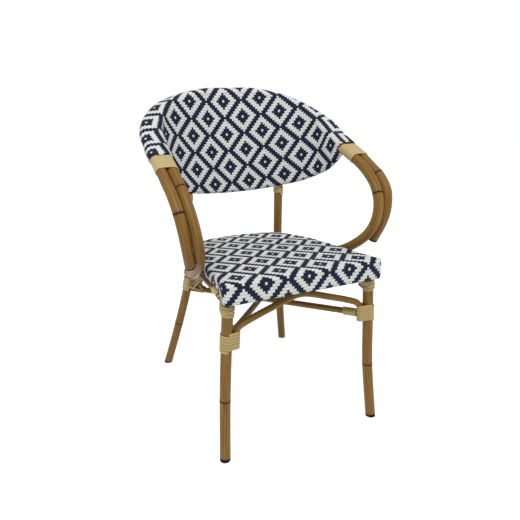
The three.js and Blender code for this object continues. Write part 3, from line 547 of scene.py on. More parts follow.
archFoot, lashingTop = stubEnds(frontLashing, inwards)
archTurn = lashingTop - upwards * stub["archDrop"]
archBend = smoothCurve(bothSides([
    tuple(archTurn), (163.4, -253.5, 330), (157.3, -253, 335.5), (148, -252.6, 340), (136.5, -252.3, 344.3),
    (110, -252.3, 353.8), (76, -252.3, 364.8), (38, -252.3, 377.3), (14, -252.3, 383.6), (0, -252.3, 384.8)]))
archRun = np.vstack([archFoot, archBend, archFoot * flipX])
addTube("front_arch", "front_arch_brace", archRun, tubes["brace"], phase=3900)
braceFoot, braceTurn = stubEnds(seatLashing, backwards)
braceBend = smoothCurve([
    tuple(atHeight(rearRun, 395.1)), (176.1, -49.2, 401.9), (183.4, -138.1, 405), (188.8, -197.1, 408.2),
    (189.4, -212.8, 408.6), (190, -228.4, 405.9), tuple(braceTurn)])
braceRun = np.vstack([braceBend, braceFoot])
braceShown = stretchOf(braceRun, stub["braceRoom"], lengthsOf(braceRun)[-1])
addPair("side_brace_tube", tube(braceShown, tubes["brace"], phase=4500), bamboo, "bamboo_tube", "side_brace")

# The diagonals: one runs through, the other is in two halves that end at the crossing
diagonals = {"throughFront": 302.6, "throughRear": 294.1, "halfFront": 315.7, "halfRear": 292,
             "halfOffset": 4.5, "frontRoom": 10, "rearRoom": 13, "crossRoom": 5}
throughFront = besideLeg(lengthAt(frontRun, diagonals["throughFront"]), inwards, stub["offset"] / 2)
throughRear = atHeight(rearRun, diagonals["throughRear"]) * flipX
halfFront = besideLeg(lengthAt(frontRun, diagonals["halfFront"]), inwards, diagonals["halfOffset"]) * flipX
halfRear = atHeight(rearRun, diagonals["halfRear"])
crossShare = throughFront[0] / (throughFront[0] - throughRear[0])
crossing = throughFront + (throughRear - throughFront) * crossShare


# A straight run between two points, with room left at its ends
def straightRun(start, end, startRoom, endRoom):
    heading = unit(end - start)
    return np.linspace(start + heading * startRoom, end - heading * endRoom, 30)


for label, start, end, rooms, phase in (
        ("through", throughFront, throughRear, ("frontRoom", "rearRoom"), 5100),
        ("front_half", halfFront, crossing, ("frontRoom", "crossRoom"), 5700),
        ("rear_half", halfRear, crossing, ("rearRoom", "crossRoom"), 6300)):
    run = straightRun(start, end, *(diagonals[room] for room in rooms))
    addTube("diagonal_" + label, "diagonal_brace_" + label, run, tubes["brace"], phase=phase)
print("braces made")


# Windings: one flat strand round a group of circles beside a run
def strandSection(breadth, thickness, sides=12):
    section = []
    for i in range(sides):
        angle = 2 * math.pi * (i + 0.5) / sides
        x, y = math.cos(angle), math.sin(angle)
        section.append((breadth / 2 * math.copysign(abs(x) ** 0.55, x),
                        thickness / 2 * math.copysign(abs(y) ** 0.8, y)))
    return section


def wound(run, start, turns, circles, hint, kind, firstAngle=math.pi / 2, phase=0.0):
    steps = kind["steps"]
    count = round(turns * steps) + 1
    turn = np.arange(count) / steps
    length = start + turn * kind["pitch"]
    centre = pointsAt(run, length)
    along = unit(pointsAt(run, length + 4) - pointsAt(run, length - 4))
    level = np.column_stack([along[:, 1], -along[:, 0], 0 * turn])
    wanted = level if hint is None else np.tile(hint, (count, 1))
    side = unit(wanted - along * (wanted * along).sum(1)[:, None])
    up = np.cross(along, side)
    angle = firstAngle + 2 * math.pi * turn
    heading = np.column_stack([np.cos(angle), np.sin(angle)])
    reach = np.array([heading @ np.array([x, y]) + radius for x, y, radius in circles])
    held = np.array(circles)[reach.argmax(0)]
    spot = held[:, :2] + heading * (held[:, 2:] + kind["thickness"] / 2 + 0.15)
    points = centre + side * spot[:, :1] + up * spot[:, 1:]
    out = side * heading[:, :1] + up * heading[:, 1:]
    forward = headings(points)
    out = unit(out - forward * (out * forward).sum(1)[:, None])
    across = np.cross(out, forward)
    section = strandSection(kind["breadth"], kind["thickness"])
    return swept(section, points, across, out, lengthsOf(points) + phase)


pairCircles = [(side * tubes["pairSpread"], 0, tubes["arm"]) for side in (1, -1)]
legCircle = (0, 0, tubes["leg"])
braceCircle = (0, 0, tubes["brace"])
legPair = [legCircle, (stub["offset"], 0, tubes["brace"])]
seatStrand = {"breadth": 6, "thickness": 1.6, "pitch": 6.5, "steps": 24}
sleeveKind = {"breadth": 6.6, "thickness": 2.8, "pitch": 6.7, "steps": 24}
crossKind = {"breadth": 5.2, "thickness": 1.4, "rise": 1.7, "steps": 36}

# Where each winding starts along its run, and how often it turns
windings = {"binding": (-5.5, 9.3), "front": (frontLashing["start"], frontLashing["turns"]),
            "seat": (seatLashing["start"], 4), "bend": (389, 4.4), "rear": (lengthAt(rearRun, 292), 6),
            "post": (lengthAt(rearRun, 564.8), 3), "brace": (349, 6), "sleeve": (19.5, 5), "joint": (16, 7)}


# One winding on each side of the chair
def addWinding(name, replaced, finish, *settings, **phases):
    addPair(name, wound(*settings, **phases), finish, "cane", replaced)


addWinding("armrest_binding", "arm_binding", cane, rimRun, *windings["binding"], pairCircles, None,
           flatStrand)
addWinding("front_lashing_cane", "front_leg_lashing", darkCane, frontRun, *windings["front"], legPair,
           inwards, strand, firstAngle=1.6, phase=300)
addWinding("seat_lashing_cane", "seat_lashing", darkCane, frontRun, *windings["seat"], legPair,
           backwards, seatStrand, firstAngle=1.6, phase=700)

# Strands that cross the seat's lashing, each with its start, pitch, angle and phase, and the wrap on the
# side brace's bend
crossCircles = [(x, y, radius + crossKind["rise"]) for x, y, radius in legPair]
crossRoutes = ((0.5, 21, 0.2, 850), (0.5, 21, 2.3, 900), (21.5, -21, 0.6, 950))
crossings = [wound(frontRun, seatLashing["start"] + start, 1, crossCircles, backwards,
                   {**crossKind, "pitch": pitch}, angle, phase) for start, pitch, angle, phase in crossRoutes]
crossings.append(wound(braceRun, *windings["bend"], [braceCircle], inwards, flatStrand, phase=980))
addPair("seat_lashing_cross", joined(crossings), darkCane, "cane")
addWinding("rear_lashing_cane", "rear_lashing", cane, rearRun, *windings["rear"], [legCircle], inwards,
           strand, phase=1100)
addWinding("post_wrap_cane", "post_wrap", cane, rearRun, *windings["post"], [legCircle], inwards, strand,
           phase=1500)
addWinding("brace_wrap_cane", "brace_wrap", cane, braceRun, *windings["brace"], [braceCircle], inwards,
           flatStrand, phase=1900)


# A winding on a straight tube, from its foot towards a target
def woundStraight(foot, target, label, circle, kind, phase):
    run = np.linspace(foot, foot + unit(target - foot) * 80, 20)
    return wound(run, *windings[label], [circle], upwards, kind, phase=phase)


for side, foot, target in (("right", throughFront, throughRear), ("left", halfFront, crossing)):
    sleeve = woundStraight(foot, target, "sleeve", braceCircle, sleeveKind, 2300)
    addPiece("brace_sleeve_" + side, sleeve, darkCane, "cane", "diagonal_sleeve_" + side)

# Strands laced across between the rear leg, the diagonal's end and the arm above, over and under its wrap
lace = {"stations": 14, "thickness": 1.6, "wayOut": np.array([0.24, -0.92, 0.31]), "sag": 2, "grainStep": 50}
overLaces = [((153, 158, 306), (130, 100, 347)), ((149, 156, 329), (125, 121, 297)),
             ((145, 130, 344), (127, 105, 331)), ((167, 168, 305), (128, 122, 292)),
             ((153, 156, 324), (126, 100, 346)), ((150, 152, 294), (136, 120, 326)),
             ((136, 102, 352), (176, 84, 364)), ((134, 101, 349), (170, 100, 362))]
underLaces = [((155, 156, 313), (129, 102, 338)), ((154, 152, 301), (131, 102, 343)),
              ((139, 149, 295), (134, 104, 345)), ((130, 137, 296), (128, 104, 340)),
              ((154, 156, 329), (127, 112, 311))]
jointCircle = (0, 2, 9.5)


def laced(routes, breadth, shift=0, step=1.0):
    meshes = []
    for number, route in enumerate(routes):
        start, end = np.array(route, float) + shift
        phase = number * step
        heading = unit(end - start)
        out = unit(lace["wayOut"] - heading * heading.dot(lace["wayOut"]))
        sag = np.sin(np.linspace(0, math.pi, lace["stations"]))[:, None] * (lace["sag"] + phase % 3)
        run = np.linspace(start, end, lace["stations"]) + out * sag
        outs = np.tile(out, (lace["stations"], 1))
        across = np.tile(np.cross(out, heading), (lace["stations"], 1))
        section = strandSection(breadth, lace["thickness"])
        meshes.append(swept(section, run, across, outs, lengthsOf(run) + phase * lace["grainStep"]))
    return joined(meshes)


addPair("joint_lacing", laced(overLaces, 4.4), cane, "cane")
# The wrap at the rear joint and the wide lacing under it take the darker cane copy: painted shade
for side, foot, target in (("right", halfRear, crossing),
                           ("left", throughRear * flipX, throughFront * flipX)):
    wrap = woundStraight(foot, target, "joint", jointCircle, flatStrand, 2600)
    addPiece("rear_joint_wrap_" + side, flipped(wrap) if side == "left" else wrap, paintedShadeCane, "cane")
addPair("joint_lacing_under", laced(underLaces, 8.5, (0, 6, 0), 0.3), paintedShadeCane, "cane")
print("windings made")

# The woven cloth: a pointed twill whose navy strands run lengthwise and cream ones crosswise
weave = {"columns": 18, "rows": 14, "period": 6, "splits": (0, 0.26, 0.74, 1), "lift": 0.9, "rowNumbers": 500,
         "grainSteps": (37.7, 11.3)}


def isNavy(column, row):
    halfColumns = weave["columns"] // 2
    halfRows = weave["rows"] // 2
    folded = np.abs((column + halfColumns) % weave["columns"] - halfColumns)
    folded = folded + np.abs((row + halfRows) % weave["rows"] - halfRows)
    return (folded - 1) % weave["period"] < weave["period"] // 2


# The strand's height at each grid point: it stays up over a float and dips at the float's ends
def floatHeights(i, j, per, firstColumn, firstRow, reverse):
    column = firstColumn + i // per
    row = firstRow + j // per
    navy, leftNavy, belowNavy = (isNavy(column - left, row - below) != reverse
                                 for left, below in ((0, 0), (1, 0), (0, 1)))
    onSide = i % per == 0
    onEnd = j % per == 0
    sideOnly = onSide & ~onEnd
    endOnly = onEnd & ~onSide
    heights = np.where(onSide & onEnd, 0.0, 1.0)
    heights[sideOnly] = (~navy & ~leftNavy)[sideOnly]
    heights[endOnly] = (navy & belowNavy)[endOnly]
    return heights


# A cloth cut from a panel's flat weave and laid by a function, which also says what to keep
def wovenCloth(name, panel, columns, rows, layOn, splits=weave["splits"], lift=weave["lift"], reverse=False):
    per = len(splits) - 1
    acrossCount = (columns[1] - columns[0] + 1) * per
    upCount = (rows[1] - rows[0] + 1) * per
    grid = bmesh.new()
    bmesh.ops.create_grid(grid, x_segments=acrossCount, y_segments=upCount, size=0.5)
    data = dataOf(name, grid)
    j, i = np.divmod(np.arange(len(data.vertices)), acrossCount + 1)
    part = np.array(splits)
    across = (columns[0] - 0.5 + i // per + part[i % per]) * panel["period"][0] / weave["columns"]
    up = (rows[0] - 0.5 + j // per + part[j % per]) * panel["period"][1] / weave["rows"]
    cosine, sine = math.cos(panel["turn"]), math.sin(panel["turn"])
    flatX = panel["origin"][0] + across * cosine - up * sine
    flatY = panel["origin"][1] + up * cosine + across * sine
    laid, kept = layOn(flatX, flatY)
    sheet = laid.reshape(upCount + 1, acrossCount + 1, 3)
    normals = np.cross(np.gradient(sheet, axis=1), np.gradient(sheet, axis=0)).reshape(-1, 3)
    normals = unit(normals + 1e-12)
    if reverse:
        normals = -normals
    high = floatHeights(i, j, per, columns[0], rows[0], reverse) if per > 1 else np.ones(len(i))
    laid = laid + normals * (lift * high)[:, None]
    data.vertices.foreach_set("co", (laid * metre).ravel())
    corners = np.empty(len(data.loops), int)
    data.loops.foreach_get("vertex_index", corners)
    quads = corners.reshape(-1, 4)
    column = columns[0] + i[quads].min(1) // per
    row = rows[0] + j[quads].min(1) // per
    navy = isNavy(column, row) != reverse
    dropped = ~kept[quads].all(1)
    strandNumber = np.where(navy, column, weave["rowNumbers"] - row)
    for label, domain, values in (("cream", "FACE", ~navy), ("dropped", "FACE", dropped),
                                  ("high", "POINT", high)):
        data.attributes.new(label, "FLOAT", domain).data.foreach_set("value", values.astype(np.float32))
    uv = np.where(np.repeat(navy, 4)[:, None], np.column_stack([flatX, flatY])[corners],
                  np.column_stack([flatY, flatX])[corners])
    uv += np.repeat(strandNumber, 4)[:, None] * np.array(weave["grainSteps"])
    data.uv_layers.new(name="strand").data.foreach_set("uv", uv.astype(np.float32).ravel())
    woven = bmesh.new()
    woven.from_mesh(data)
    bpy.data.meshes.remove(data)
    label = woven.faces.layers.float["dropped"]
    bmesh.ops.delete(woven, geom=[face for face in woven.faces if face[label] > 0.5], context="FACES")
    if reverse:
        bmesh.ops.reverse_faces(woven, faces=woven.faces)
    for face in woven.faces:
        face.smooth = True
    return woven


def addCloth(name, panel, columns, rows, layOn, *replaced, **options):
    woven = wovenCloth(name, panel, columns, rows, layOn, **options)
    print(name, "faces", len(woven.faces))
    addPiece(name, woven, cloth, "woven_skin", *replaced, scaled=True)


# Lays the left half of a cloth as the mirror image of the right
def bothHalves(layRight):
    def lay(flatX, flatY):
        laid, kept = layRight(np.abs(flatX), flatY)
        laid[:, 0] *= np.where(flatX < 0, -1.0, 1.0)
        return laid, kept
    return lay


# The back: the hoop's front edge and the bottom rail's, and the bent surface between them
back = {"rimEdge": 28.7, "rimRadius": 15.9, "startRadius": 12.7, "startLead": 4, "flare": 9, "rimWrap": 139,
        "railEdge": 9.67, "railWrap": 51, "railStart": 2, "sunk": 1.7, "overlap": 8, "hoopOverlap": 4,
        "sheet": 4, "reverseRim": 7, "reverseRail": 6, "tall": 30, "lowest": 520, "highest": 960,
        "levelStep": 4.0, "coneRadius": 1388, "coneLevel": 725, "bandPress": 0.94, "drift": (17, 222, 150),
        "edgeMore": 60, "bandMore": 330, "origin": (-18.68, 113.518), "period": (108.912, 91.487),
        "turn": 0.042}
skinFrom = skinStart - back["startLead"]
bandPoints = stretchOf(rimRun, skinStart, rim["lengths"][-1] - skinStart)
railStart = besideRim(skinStart, -tubes["pairSpread"])
railRun = smoothCurve(bothSides([
    tuple(railStart), (235.6, -31.2, 671.9), (229.9, -2.1, 650.2), (216.9, 44.9, 630.2), (190, 86.8, 613.2),
    (144.9, 119.9, 602.2), (75.1, 138.8, 593.7), (0, 144.9, 591.1)]))
rail = withSides(railRun)


# The right half of what lies along a run, from the middle out
def rightHalf(items):
    return items[len(items) // 2::-1]


rimEdge = rightHalf(sideways(bandPoints, -back["rimEdge"]))
rimEdgeAt = rightHalf(skinStart + lengthsOf(bandPoints))
railEdge = rightHalf(sideways(railRun, -back["railEdge"]))
planRun = railEdge[:, :2]
planAt = lengthsOf(planRun)
sigma = np.linspace(0, planAt[-1], 260)
plan = readAt(sigma, planAt, planRun)
planAlong = headings(plan)
planOut = np.column_stack([-planAlong[:, 1], planAlong[:, 0]])
railLevel = np.interp(sigma, planAt, railEdge[:, 2])
railAt = np.interp(sigma, planAt, rightHalf(rail["lengths"]))


# Where the line out from each plan point meets the hoop's edge: distance, height and length along the hoop
def hoopMeeting():
    found = []
    for point, heading, outwards in zip(plan, planAlong, planOut):
        ahead = (rimEdge[:, :2] - point) @ heading
        cross = np.where((ahead[:-1] <= 0) & (ahead[1:] > 0))[0]
        if len(cross) == 0:
            found.append(found[-1])
            continue
        k = cross[0]
        share = -ahead[k] / (ahead[k + 1] - ahead[k])
        spot = rimEdge[k] * (1 - share) + rimEdge[k + 1] * share
        length = rimEdgeAt[k] * (1 - share) + rimEdgeAt[k + 1] * share
        found.append(((spot[:2] - point) @ outwards, spot[2], length))
    return np.array(found).T


hoopOut, hoopLevel, hoopAt = hoopMeeting()
hoopRise = hoopLevel - railLevel
tall = hoopRise > back["tall"]
lean = np.where(tall, hoopOut / np.where(tall, hoopRise, 1), 0)
lean[~tall] = lean[tall][-1]


# Lengths along each level of the surface, from the middle to the right
def levelLengths(level):
    points = plan + planOut * (lean * (level - railLevel))[:, None]
    return lengthsOf(points)


levelsTable = np.arange(back["lowest"], back["highest"], back["levelStep"])
lengthTable = np.array([levelLengths(level) for level in levelsTable])
sheetTable = np.column_stack([lean, railLevel, plan, planOut])


# The surface point at a length along a level
def panelPoint(length, level):
    where = np.clip((level - levelsTable[0]) / back["levelStep"], 0, len(levelsTable) - 1.001)
    low = where.astype(int)
    share = where - low
    found = np.zeros(len(length))
    for k in np.unique(low):
        mine = low == k
        ends = []
        for table in (lengthTable[k], lengthTable[k + 1]):
            beyond = np.maximum(length[mine] - table[-1], 0)
            ends.append(np.interp(length[mine], table, sigma) + beyond)
        found[mine] = ends[0] * (1 - share[mine]) + ends[1] * share[mine]
    beyond = np.maximum(found - sigma[-1], 0)
    leanHere, railHere, x, y, outX, outY = readAt(found, sigma, sheetTable).T
    reach = leanHere * (level - railHere)
    return np.column_stack([x + outX * reach + beyond * planAlong[-1][0],
                            y + outY * reach + beyond * planAlong[-1][1], level])


# The same surface opened out flat, as a piece of a cone
def flatSpot(length, level):
    reach = back["coneRadius"] + level - back["coneLevel"]
    angle = length / reach
    return np.column_stack([reach * np.sin(angle), reach * np.cos(angle) - back["coneRadius"]])


def flatOfEdge(levels):
    return flatSpot(np.array([levelLengths(level)[k] for k, level in enumerate(levels)]), levels)


# An edge of the flat cloth with a straight run on past its end, and what lies beyond it
def flatEdge(points, lengths, more, wayOut, slope=None):
    keep = np.concatenate([[True], np.linalg.norm(np.diff(points, axis=0), axis=1) > 0.05])
    points, lengths = points[keep], lengths[keep]
    heading = unit(points[-1] - points[-6])
    pace = slope or (lengths[-1] - lengths[-6]) / np.linalg.norm(points[-1] - points[-6])
    extra = np.arange(1.0, more, 1.0)
    points = np.vstack([points, points[-1] + extra[:, None] * heading])
    lengths = np.concatenate([lengths, lengths[-1] + extra * pace])
    along = headings(points)
    return {"points": points, "lengths": lengths, "along": along,
            "out": wayOut * np.column_stack([-along[:, 1], along[:, 0]]),
            "slope": np.gradient(lengths) / np.linalg.norm(np.gradient(points, axis=0), axis=1)}


rimBorder = flatEdge(flatOfEdge(hoopLevel), hoopAt, back["edgeMore"], 1)
railBorder = flatEdge(flatOfEdge(railLevel), railAt, back["edgeMore"], -1)

# The left band turns with its edge as far as the weave's diagonal, then follows the diagonal
diagonalFall = math.atan2(back["period"][1], back["period"][0]) + back["turn"]
falls = np.arctan2(-rimBorder["along"][:, 1], rimBorder["along"][:, 0])
bandEnd = int(np.argmax(falls > diagonalFall))
bandBorder = flatEdge(rimBorder["points"][:bandEnd], rimBorder["lengths"][:bandEnd], back["bandMore"], 1,
                      -back["bandPress"])


# For each flat spot: how far beyond the edge it lies, and the length there along the tube
def beyondEdge(edge, spots):
    nearest = np.empty(len(spots), int)
    batch = 4096
    for start in range(0, len(spots), batch):
        part = spots[start:start + batch]
        gaps = ((part[:, None, :] - edge["points"][None]) ** 2).sum(2)
        nearest[start:start + batch] = gaps.argmin(1)
    offset = spots - edge["points"][nearest]
    along = (offset * edge["along"][nearest]).sum(1)
    return (offset * edge["out"][nearest]).sum(1), edge["lengths"][nearest] + along * edge["slope"][nearest]


# Round the hoop's two tubes: up over the front, across the top, round behind and back underneath
def hoopProfile(distance, radius):
    spread = tubes["pairSpread"]
    quarter = radius * math.pi / 2
    top = quarter + 2 * spread
    behind = top + 2 * quarter
    under = behind + 2 * spread
    turns = [distance / radius, (distance - top) / radius, (distance - under) / radius]
    zones = [distance < quarter, distance < top, distance < behind, distance < under]
    side = np.select(zones, [-spread - radius * np.cos(turns[0]), distance - quarter - spread,
                             spread + radius * np.sin(turns[1]), spread - (distance - behind)],
                     -spread - radius * np.sin(turns[2]))
    rise = np.select(zones, [radius * np.sin(turns[0]), radius, radius * np.cos(turns[1]), -radius],
                     -radius * np.cos(turns[2]))
    return side, rise


# Points beside a run at given lengths, out to its side and up
def framed(line, at, side, rise):
    point, sideWay, upWay = (readAt(at, line["lengths"], line[key]) for key in ("run", "side", "up"))
    return point + unit(sideWay) * side[:, None] + unit(upWay) * rise[:, None]


def surfaceOfBack(flatX, flatY):
    reach = np.hypot(flatX, back["coneRadius"] + flatY)
    length = np.arctan2(flatX, back["coneRadius"] + flatY) * reach
    return panelPoint(length, back["coneLevel"] + reach - back["coneRadius"])


def smoothStep(share):
    share = np.clip(share, 0, 1)
    return share * share * (3 - 2 * share)


# The skin's radius on the hoop's tubes, tight at first where it leaves the binding
def skinRadius(rimAt):
    growth = smoothStep((rimAt - skinFrom) / back["flare"])
    return back["startRadius"] + (back["rimRadius"] - back["startRadius"]) * growth


@bothHalves
def onBack(flatX, flatY):
    spots = np.column_stack([flatX, flatY])
    laid = surfaceOfBack(flatX, flatY)
    overRim, rimAt = beyondEdge(rimBorder, spots)
    overRail, railThere = beyondEdge(railBorder, spots)
    onRim = overRim > 0
    onRail = ~onRim & (overRail > 0)
    side, rise = hoopProfile(np.maximum(overRim, 0), skinRadius(rimAt) - back["sunk"])
    laid[onRim] = framed(rim, rimAt, side, rise)[onRim]
    radius = back["railEdge"]
    angle = math.pi + np.maximum(overRail, 0) / radius
    laid[onRail] = framed(rail, railThere, radius * np.cos(angle), radius * np.sin(angle))[onRail]
    kept = np.where(onRim, (overRim < back["overlap"]) & (rimAt > skinFrom),
                    ~onRail | ((overRail < back["railWrap"]) & (railThere > back["railStart"])))
    return laid, kept


def onHoop(flatX, flatY):
    left = flatX < 0
    spots = np.column_stack([np.abs(flatX), flatY])
    overRim, rimAt = beyondEdge(rimBorder, spots)
    overRim[left], rimAt[left] = beyondEdge(bandBorder, spots[left])
    drift, driftStart, driftEnd = back["drift"]
    overRim[left] += drift * smoothStep((driftStart - rimAt[left]) / (driftStart - driftEnd))
    laid = framed(rim, rimAt, *hoopProfile(np.maximum(overRim, 0), skinRadius(rimAt)))
    laid[:, 0] *= np.where(left, -1.0, 1.0)
    return laid, (overRim > -back["hoopOverlap"]) & (overRim < back["rimWrap"]) & (rimAt > skinFrom)


@bothHalves
def behindBack(flatX, flatY):
    spots = np.column_stack([flatX, flatY])
    laid = surfaceOfBack(flatX, flatY)
    nearby = surfaceOfBack(flatX + 1, flatY)
    higher = surfaceOfBack(flatX, flatY + 1)
    laid += unit(np.cross(higher - laid, nearby - laid)) * back["sheet"]
    overRim = beyondEdge(rimBorder, spots)[0]
    overRail = beyondEdge(railBorder, spots)[0]
    return laid, (overRim < back["reverseRim"]) & (overRail < back["reverseRail"])


addCloth("back_cloth", back, (-84, 90), (-50, 28), onBack, "back_weave")
addCloth("back_hoop_cloth", back, (-84, 90), (-56, 34), onHoop)

# A thin dark strand in the crease beside the hoop, on the left alone: painted shade for the shadow line in
# the crease
creaseShadeStrand = {"end": 230, "step": 3.0, "clear": 0.6, "radius": 1.1, "sides": 10}
creaseLengths = np.arange(skinStart - 1, creaseShadeStrand["end"], creaseShadeStrand["step"])
creasePlace = np.full(len(creaseLengths), -tubes["pairSpread"] - back["rimRadius"] - creaseShadeStrand["clear"])
creaseRun = framed(rim, creaseLengths, creasePlace, 0 * creasePlace)
creaseSection = roundSection(creaseShadeStrand["radius"], creaseShadeStrand["sides"])
crease = swept(creaseSection, creaseRun, *steadyFrames(creaseRun), creaseLengths)
addPiece("back_crease_painted_shade", flipped(crease), creaseShadeFinish, "woven_skin")
addCloth("back_cloth_reverse", back, (-62, 68), (-42, 9), behindBack, splits=(0, 0.25, 0.75, 1),
         reverse=True)

# The seat: its outline from the front's middle round to the back's, with ways out
seat = {"top": 450, "front": -290.3, "slope": math.tan(math.radians(0.9)), "round": 7, "sideDepth": 28,
        "apronDepth": 49.3, "apronReach": 35, "corner": 13, "cornerX": 188.7, "spacing": 0.75, "beltRow": 4.7,
        "settle": 0.8, "frontWrap": 4, "sideWrap": 58, "apronProud": 0.25, "apronEnd": 43.9, "cornerTuck": 3,
        "apronTuck": 8, "underDrop": 4, "underInset": 4, "origin": (-158.4, -250.4), "period": (106.0, 95.0),
        "turn": 0}
frontX = np.linspace(0, seat["cornerX"], 190)[:-1]
frontEdge = np.column_stack([frontX, np.full(len(frontX), seat["front"])])
cornerTurns = np.linspace(-math.pi / 2, 0, 24)
cornerEdge = np.column_stack([seat["cornerX"] + seat["corner"] * np.cos(cornerTurns),
                              seat["front"] + seat["corner"] + seat["corner"] * np.sin(cornerTurns)])
sidePoints = [
    (201.7, -277.3), (199.9, -259.2), (196.5, -212.2), (193.6, -162.2), (190.5, -107.3), (187.1, -47.2),
    (180, 7.7), (165, 62.9), (148, 110.9), (117.9, 145.7), (60.1, 166.9), (0, 173.9)]
sideCurve = smoothCurve(bothSides([(x, y, 0) for x, y in sidePoints]))
sideHalf = sideCurve[:len(sideCurve) // 2 + 1, :2]
wholeEdge = np.vstack([frontEdge, cornerEdge, sideHalf[1:]])
wholeLengths = lengthsOf(wholeEdge)
outline = readAt(np.arange(0, wholeLengths[-1], seat["spacing"]), wholeLengths, wholeEdge)
outlineAt = lengthsOf(outline)
outlineAlong = headings(outline)
outlineAlong[0] = (1, 0)
outlineAlong[-1] = (-1, 0)
outlineOut = np.column_stack([outlineAlong[:, 1], -outlineAlong[:, 0]])
insetLine = outline - outlineOut * seat["round"]


def seatLevel(y):
    return seat["top"] - seat["slope"] * (y - seat["front"])


# Out over the rounded edge, down the side, round underneath and back in: way out and drop
def edgeProfile(distance, depth):
    radius = seat["round"]
    quarter = radius * math.pi / 2
    low = quarter + depth - 2 * radius
    zones = [distance < 0, distance < quarter, distance < low, distance < low + quarter]
    wayOut = np.select(zones, [distance, radius * np.sin(distance / radius), radius,
                               radius * np.cos((distance - low) / radius)], low + quarter - distance)
    drop = np.select(zones, [0, radius * (1 - np.cos(distance / radius)), radius + distance - quarter,
                             depth - radius + radius * np.sin((distance - low) / radius)], depth)
    return wayOut, drop


beltLine = seat["origin"][1] - seat["beltRow"] * seat["period"][1] / weave["rows"]
cornerStart = int(np.searchsorted(outlineAt, seat["cornerX"]))


# The line where the seat's edge begins to round, from a point of the outline on
def seatEdge(first):
    return {"points": insetLine[first:], "lengths": outlineAt[first:], "along": outlineAlong[first:],
            "out": outlineOut[first:], "slope": np.ones(len(insetLine) - first)}


def besideOutline(line, at, wayOut):
    return readAt(at, outlineAt, line) + unit(readAt(at, outlineAt, outlineOut)) * wayOut[:, None]


@bothHalves
def onSeat(flatX, flatY):
    spots = np.column_stack([flatX, flatY])
    beyond, at = beyondEdge(seatEdge(cornerStart), spots)
    outside = beyond > 0
    wayOut, drop = edgeProfile(np.maximum(beyond, 0), seat["sideDepth"])
    flat = np.where(outside[:, None], besideOutline(insetLine, at, wayOut), spots)
    nearFront = flat[:, 1] < seat["front"] + seat["apronReach"]
    drop = np.where(outside & nearFront, drop + seat["settle"] * np.clip(beyond, 0, 1), drop)
    laid = np.column_stack([flat, seatLevel(flat[:, 1]) - np.where(outside, drop, 0)])
    wrap = np.where(nearFront, seat["frontWrap"], seat["sideWrap"])
    return laid, (flatY > beltLine - 0.01) & (beyond < wrap)


@bothHalves
def onApron(flatX, flatY):
    beyond = seat["front"] + seat["round"] - flatY
    wayOut, drop = edgeProfile(beyond, seat["apronDepth"])
    wayOut = np.where(flatX > seat["cornerX"], wayOut + seat["apronProud"], wayOut)
    flat = besideOutline(outline, flatX, wayOut - seat["round"])
    laid = np.column_stack([flat, seatLevel(flat[:, 1]) - drop])
    inner = seat["apronReach"] - 2 * seat["round"]
    girth = seat["apronDepth"] - 2 * seat["round"] + seat["round"] * math.pi
    tuck = np.where(flatX > seat["cornerX"] + 1, seat["cornerTuck"], inner + seat["apronTuck"])
    kept = (flatY < beltLine + 0.01) & (beyond < girth + tuck) & (flatX < seat["cornerX"] + seat["apronEnd"])
    return laid, kept


def underSeat(flatX, flatY):
    laid = np.column_stack([flatX, flatY, seatLevel(flatY) - seat["underDrop"]])
    beyond = beyondEdge(seatEdge(0), np.column_stack([np.abs(flatX), flatY]))[0]
    return laid, beyond < -seat["underInset"]


addCloth("seat_cloth", seat, (-20, 72), (-8, 76), onSeat, "seat_weave")
addCloth("seat_apron_cloth", seat, (-20, 72), (-26, -3), onApron)
addCloth("seat_cloth_under", seat, (-10, 64), (-6, 64), underSeat, splits=(0, 1), lift=0, reverse=True)
print("cloths made")

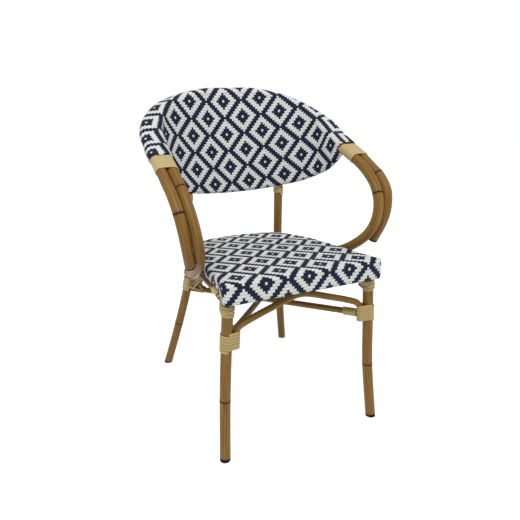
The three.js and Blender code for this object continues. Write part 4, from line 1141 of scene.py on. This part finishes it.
# The CAD nodes that stay: hidden tubes, bars and fixings
keptFinishes = dict.fromkeys(("back_bottom_rail", "seat_frame_ring", "seat_ring_splice",
                              "seat_cross_bar_front", "seat_cross_bar_rear"), bareMetal)
keptFinishes.update({"rim_tube_outer": plainBamboo, "rim_tube_inner": plainBamboo, "seat_apron_bar": wood})
for side in ("left", "right"):
    keptFinishes.update({"arm_spigot_outer_" + side: bareMetal, "arm_spigot_inner_" + side: bareMetal,
                         "leg_dowel_" + side: steel, "post_screw_" + side: steel})
for node, finish in keptFinishes.items():
    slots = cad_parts[node].data.materials
    slots.clear()
    slots.append(finish)

# The floor, the light and the white surroundings
studio = {"sky": 0.6, "floor": 0.8, "glow": 0.6, "floorSize": 12}
lamps = {"key_lamp": {"place": (-1.1, -1.7, 3.2), "target": (0, 0, 0.45), "size": 1.8, "power": 60,
                      "colour": (1, 0.99, 0.97)},
         "fill_lamp": {"place": (2.2, -1.2, 1.8), "target": (0, 0, 0.4), "size": 2.2, "power": 14,
                       "colour": (0.97, 0.98, 1)}}
floorMesh = bmesh.new()
bmesh.ops.create_grid(floorMesh, x_segments=1, y_segments=1, size=studio["floorSize"])
floorData = dataOf("floor", floorMesh)
floorShader = Shader("floor_white")
rays = floorShader.node("LightPath").outputs
seen = floorShader.maths("MAXIMUM", rays["Is Camera Ray"], rays["Is Glossy Ray"])
glow = floorShader.maths("MULTIPLY", seen, studio["glow"])
floorData.materials.append(floorShader.finish(Base_Color=(studio["floor"],) * 3, Roughness=0.9,
                                              Emission_Color=(1.0, 1.0, 1.0), Emission_Strength=glow))
floor = placed("floor", floorData)


def addLamp(name, place, target, size, power, colour):
    data = bpy.data.lights.new(name, "AREA")
    data.shape = "DISK"
    data.size = size
    data.energy = power
    data.color = colour
    lamp = placed(name, data)
    heading = (Vector(target) - Vector(place)).normalized()
    lamp.rotation_mode = "QUATERNION"
    lamp.rotation_quaternion = heading.to_track_quat("-Z", "Y")
    lamp.location = place


for name, lamp in lamps.items():
    addLamp(name, **lamp)

world = bpy.data.worlds.new("white_room")
world.use_nodes = True
bpy.context.scene.world = world
tree = world.node_tree
surface = tree.nodes["Background"]
surface.inputs["Color"].default_value = (1, 1, 1, 1)
path = tree.nodes.new("ShaderNodeLightPath")
strength = tree.nodes.new("ShaderNodeMapRange")
strength.inputs["To Min"].default_value = studio["sky"]
strength.inputs["To Max"].default_value = 1.0
tree.links.new(path.outputs["Is Camera Ray"], strength.inputs["Value"])
tree.links.new(strength.outputs[0], surface.inputs["Strength"])
bpy.context.scene.view_settings.view_transform = "Standard"
print("stage set")
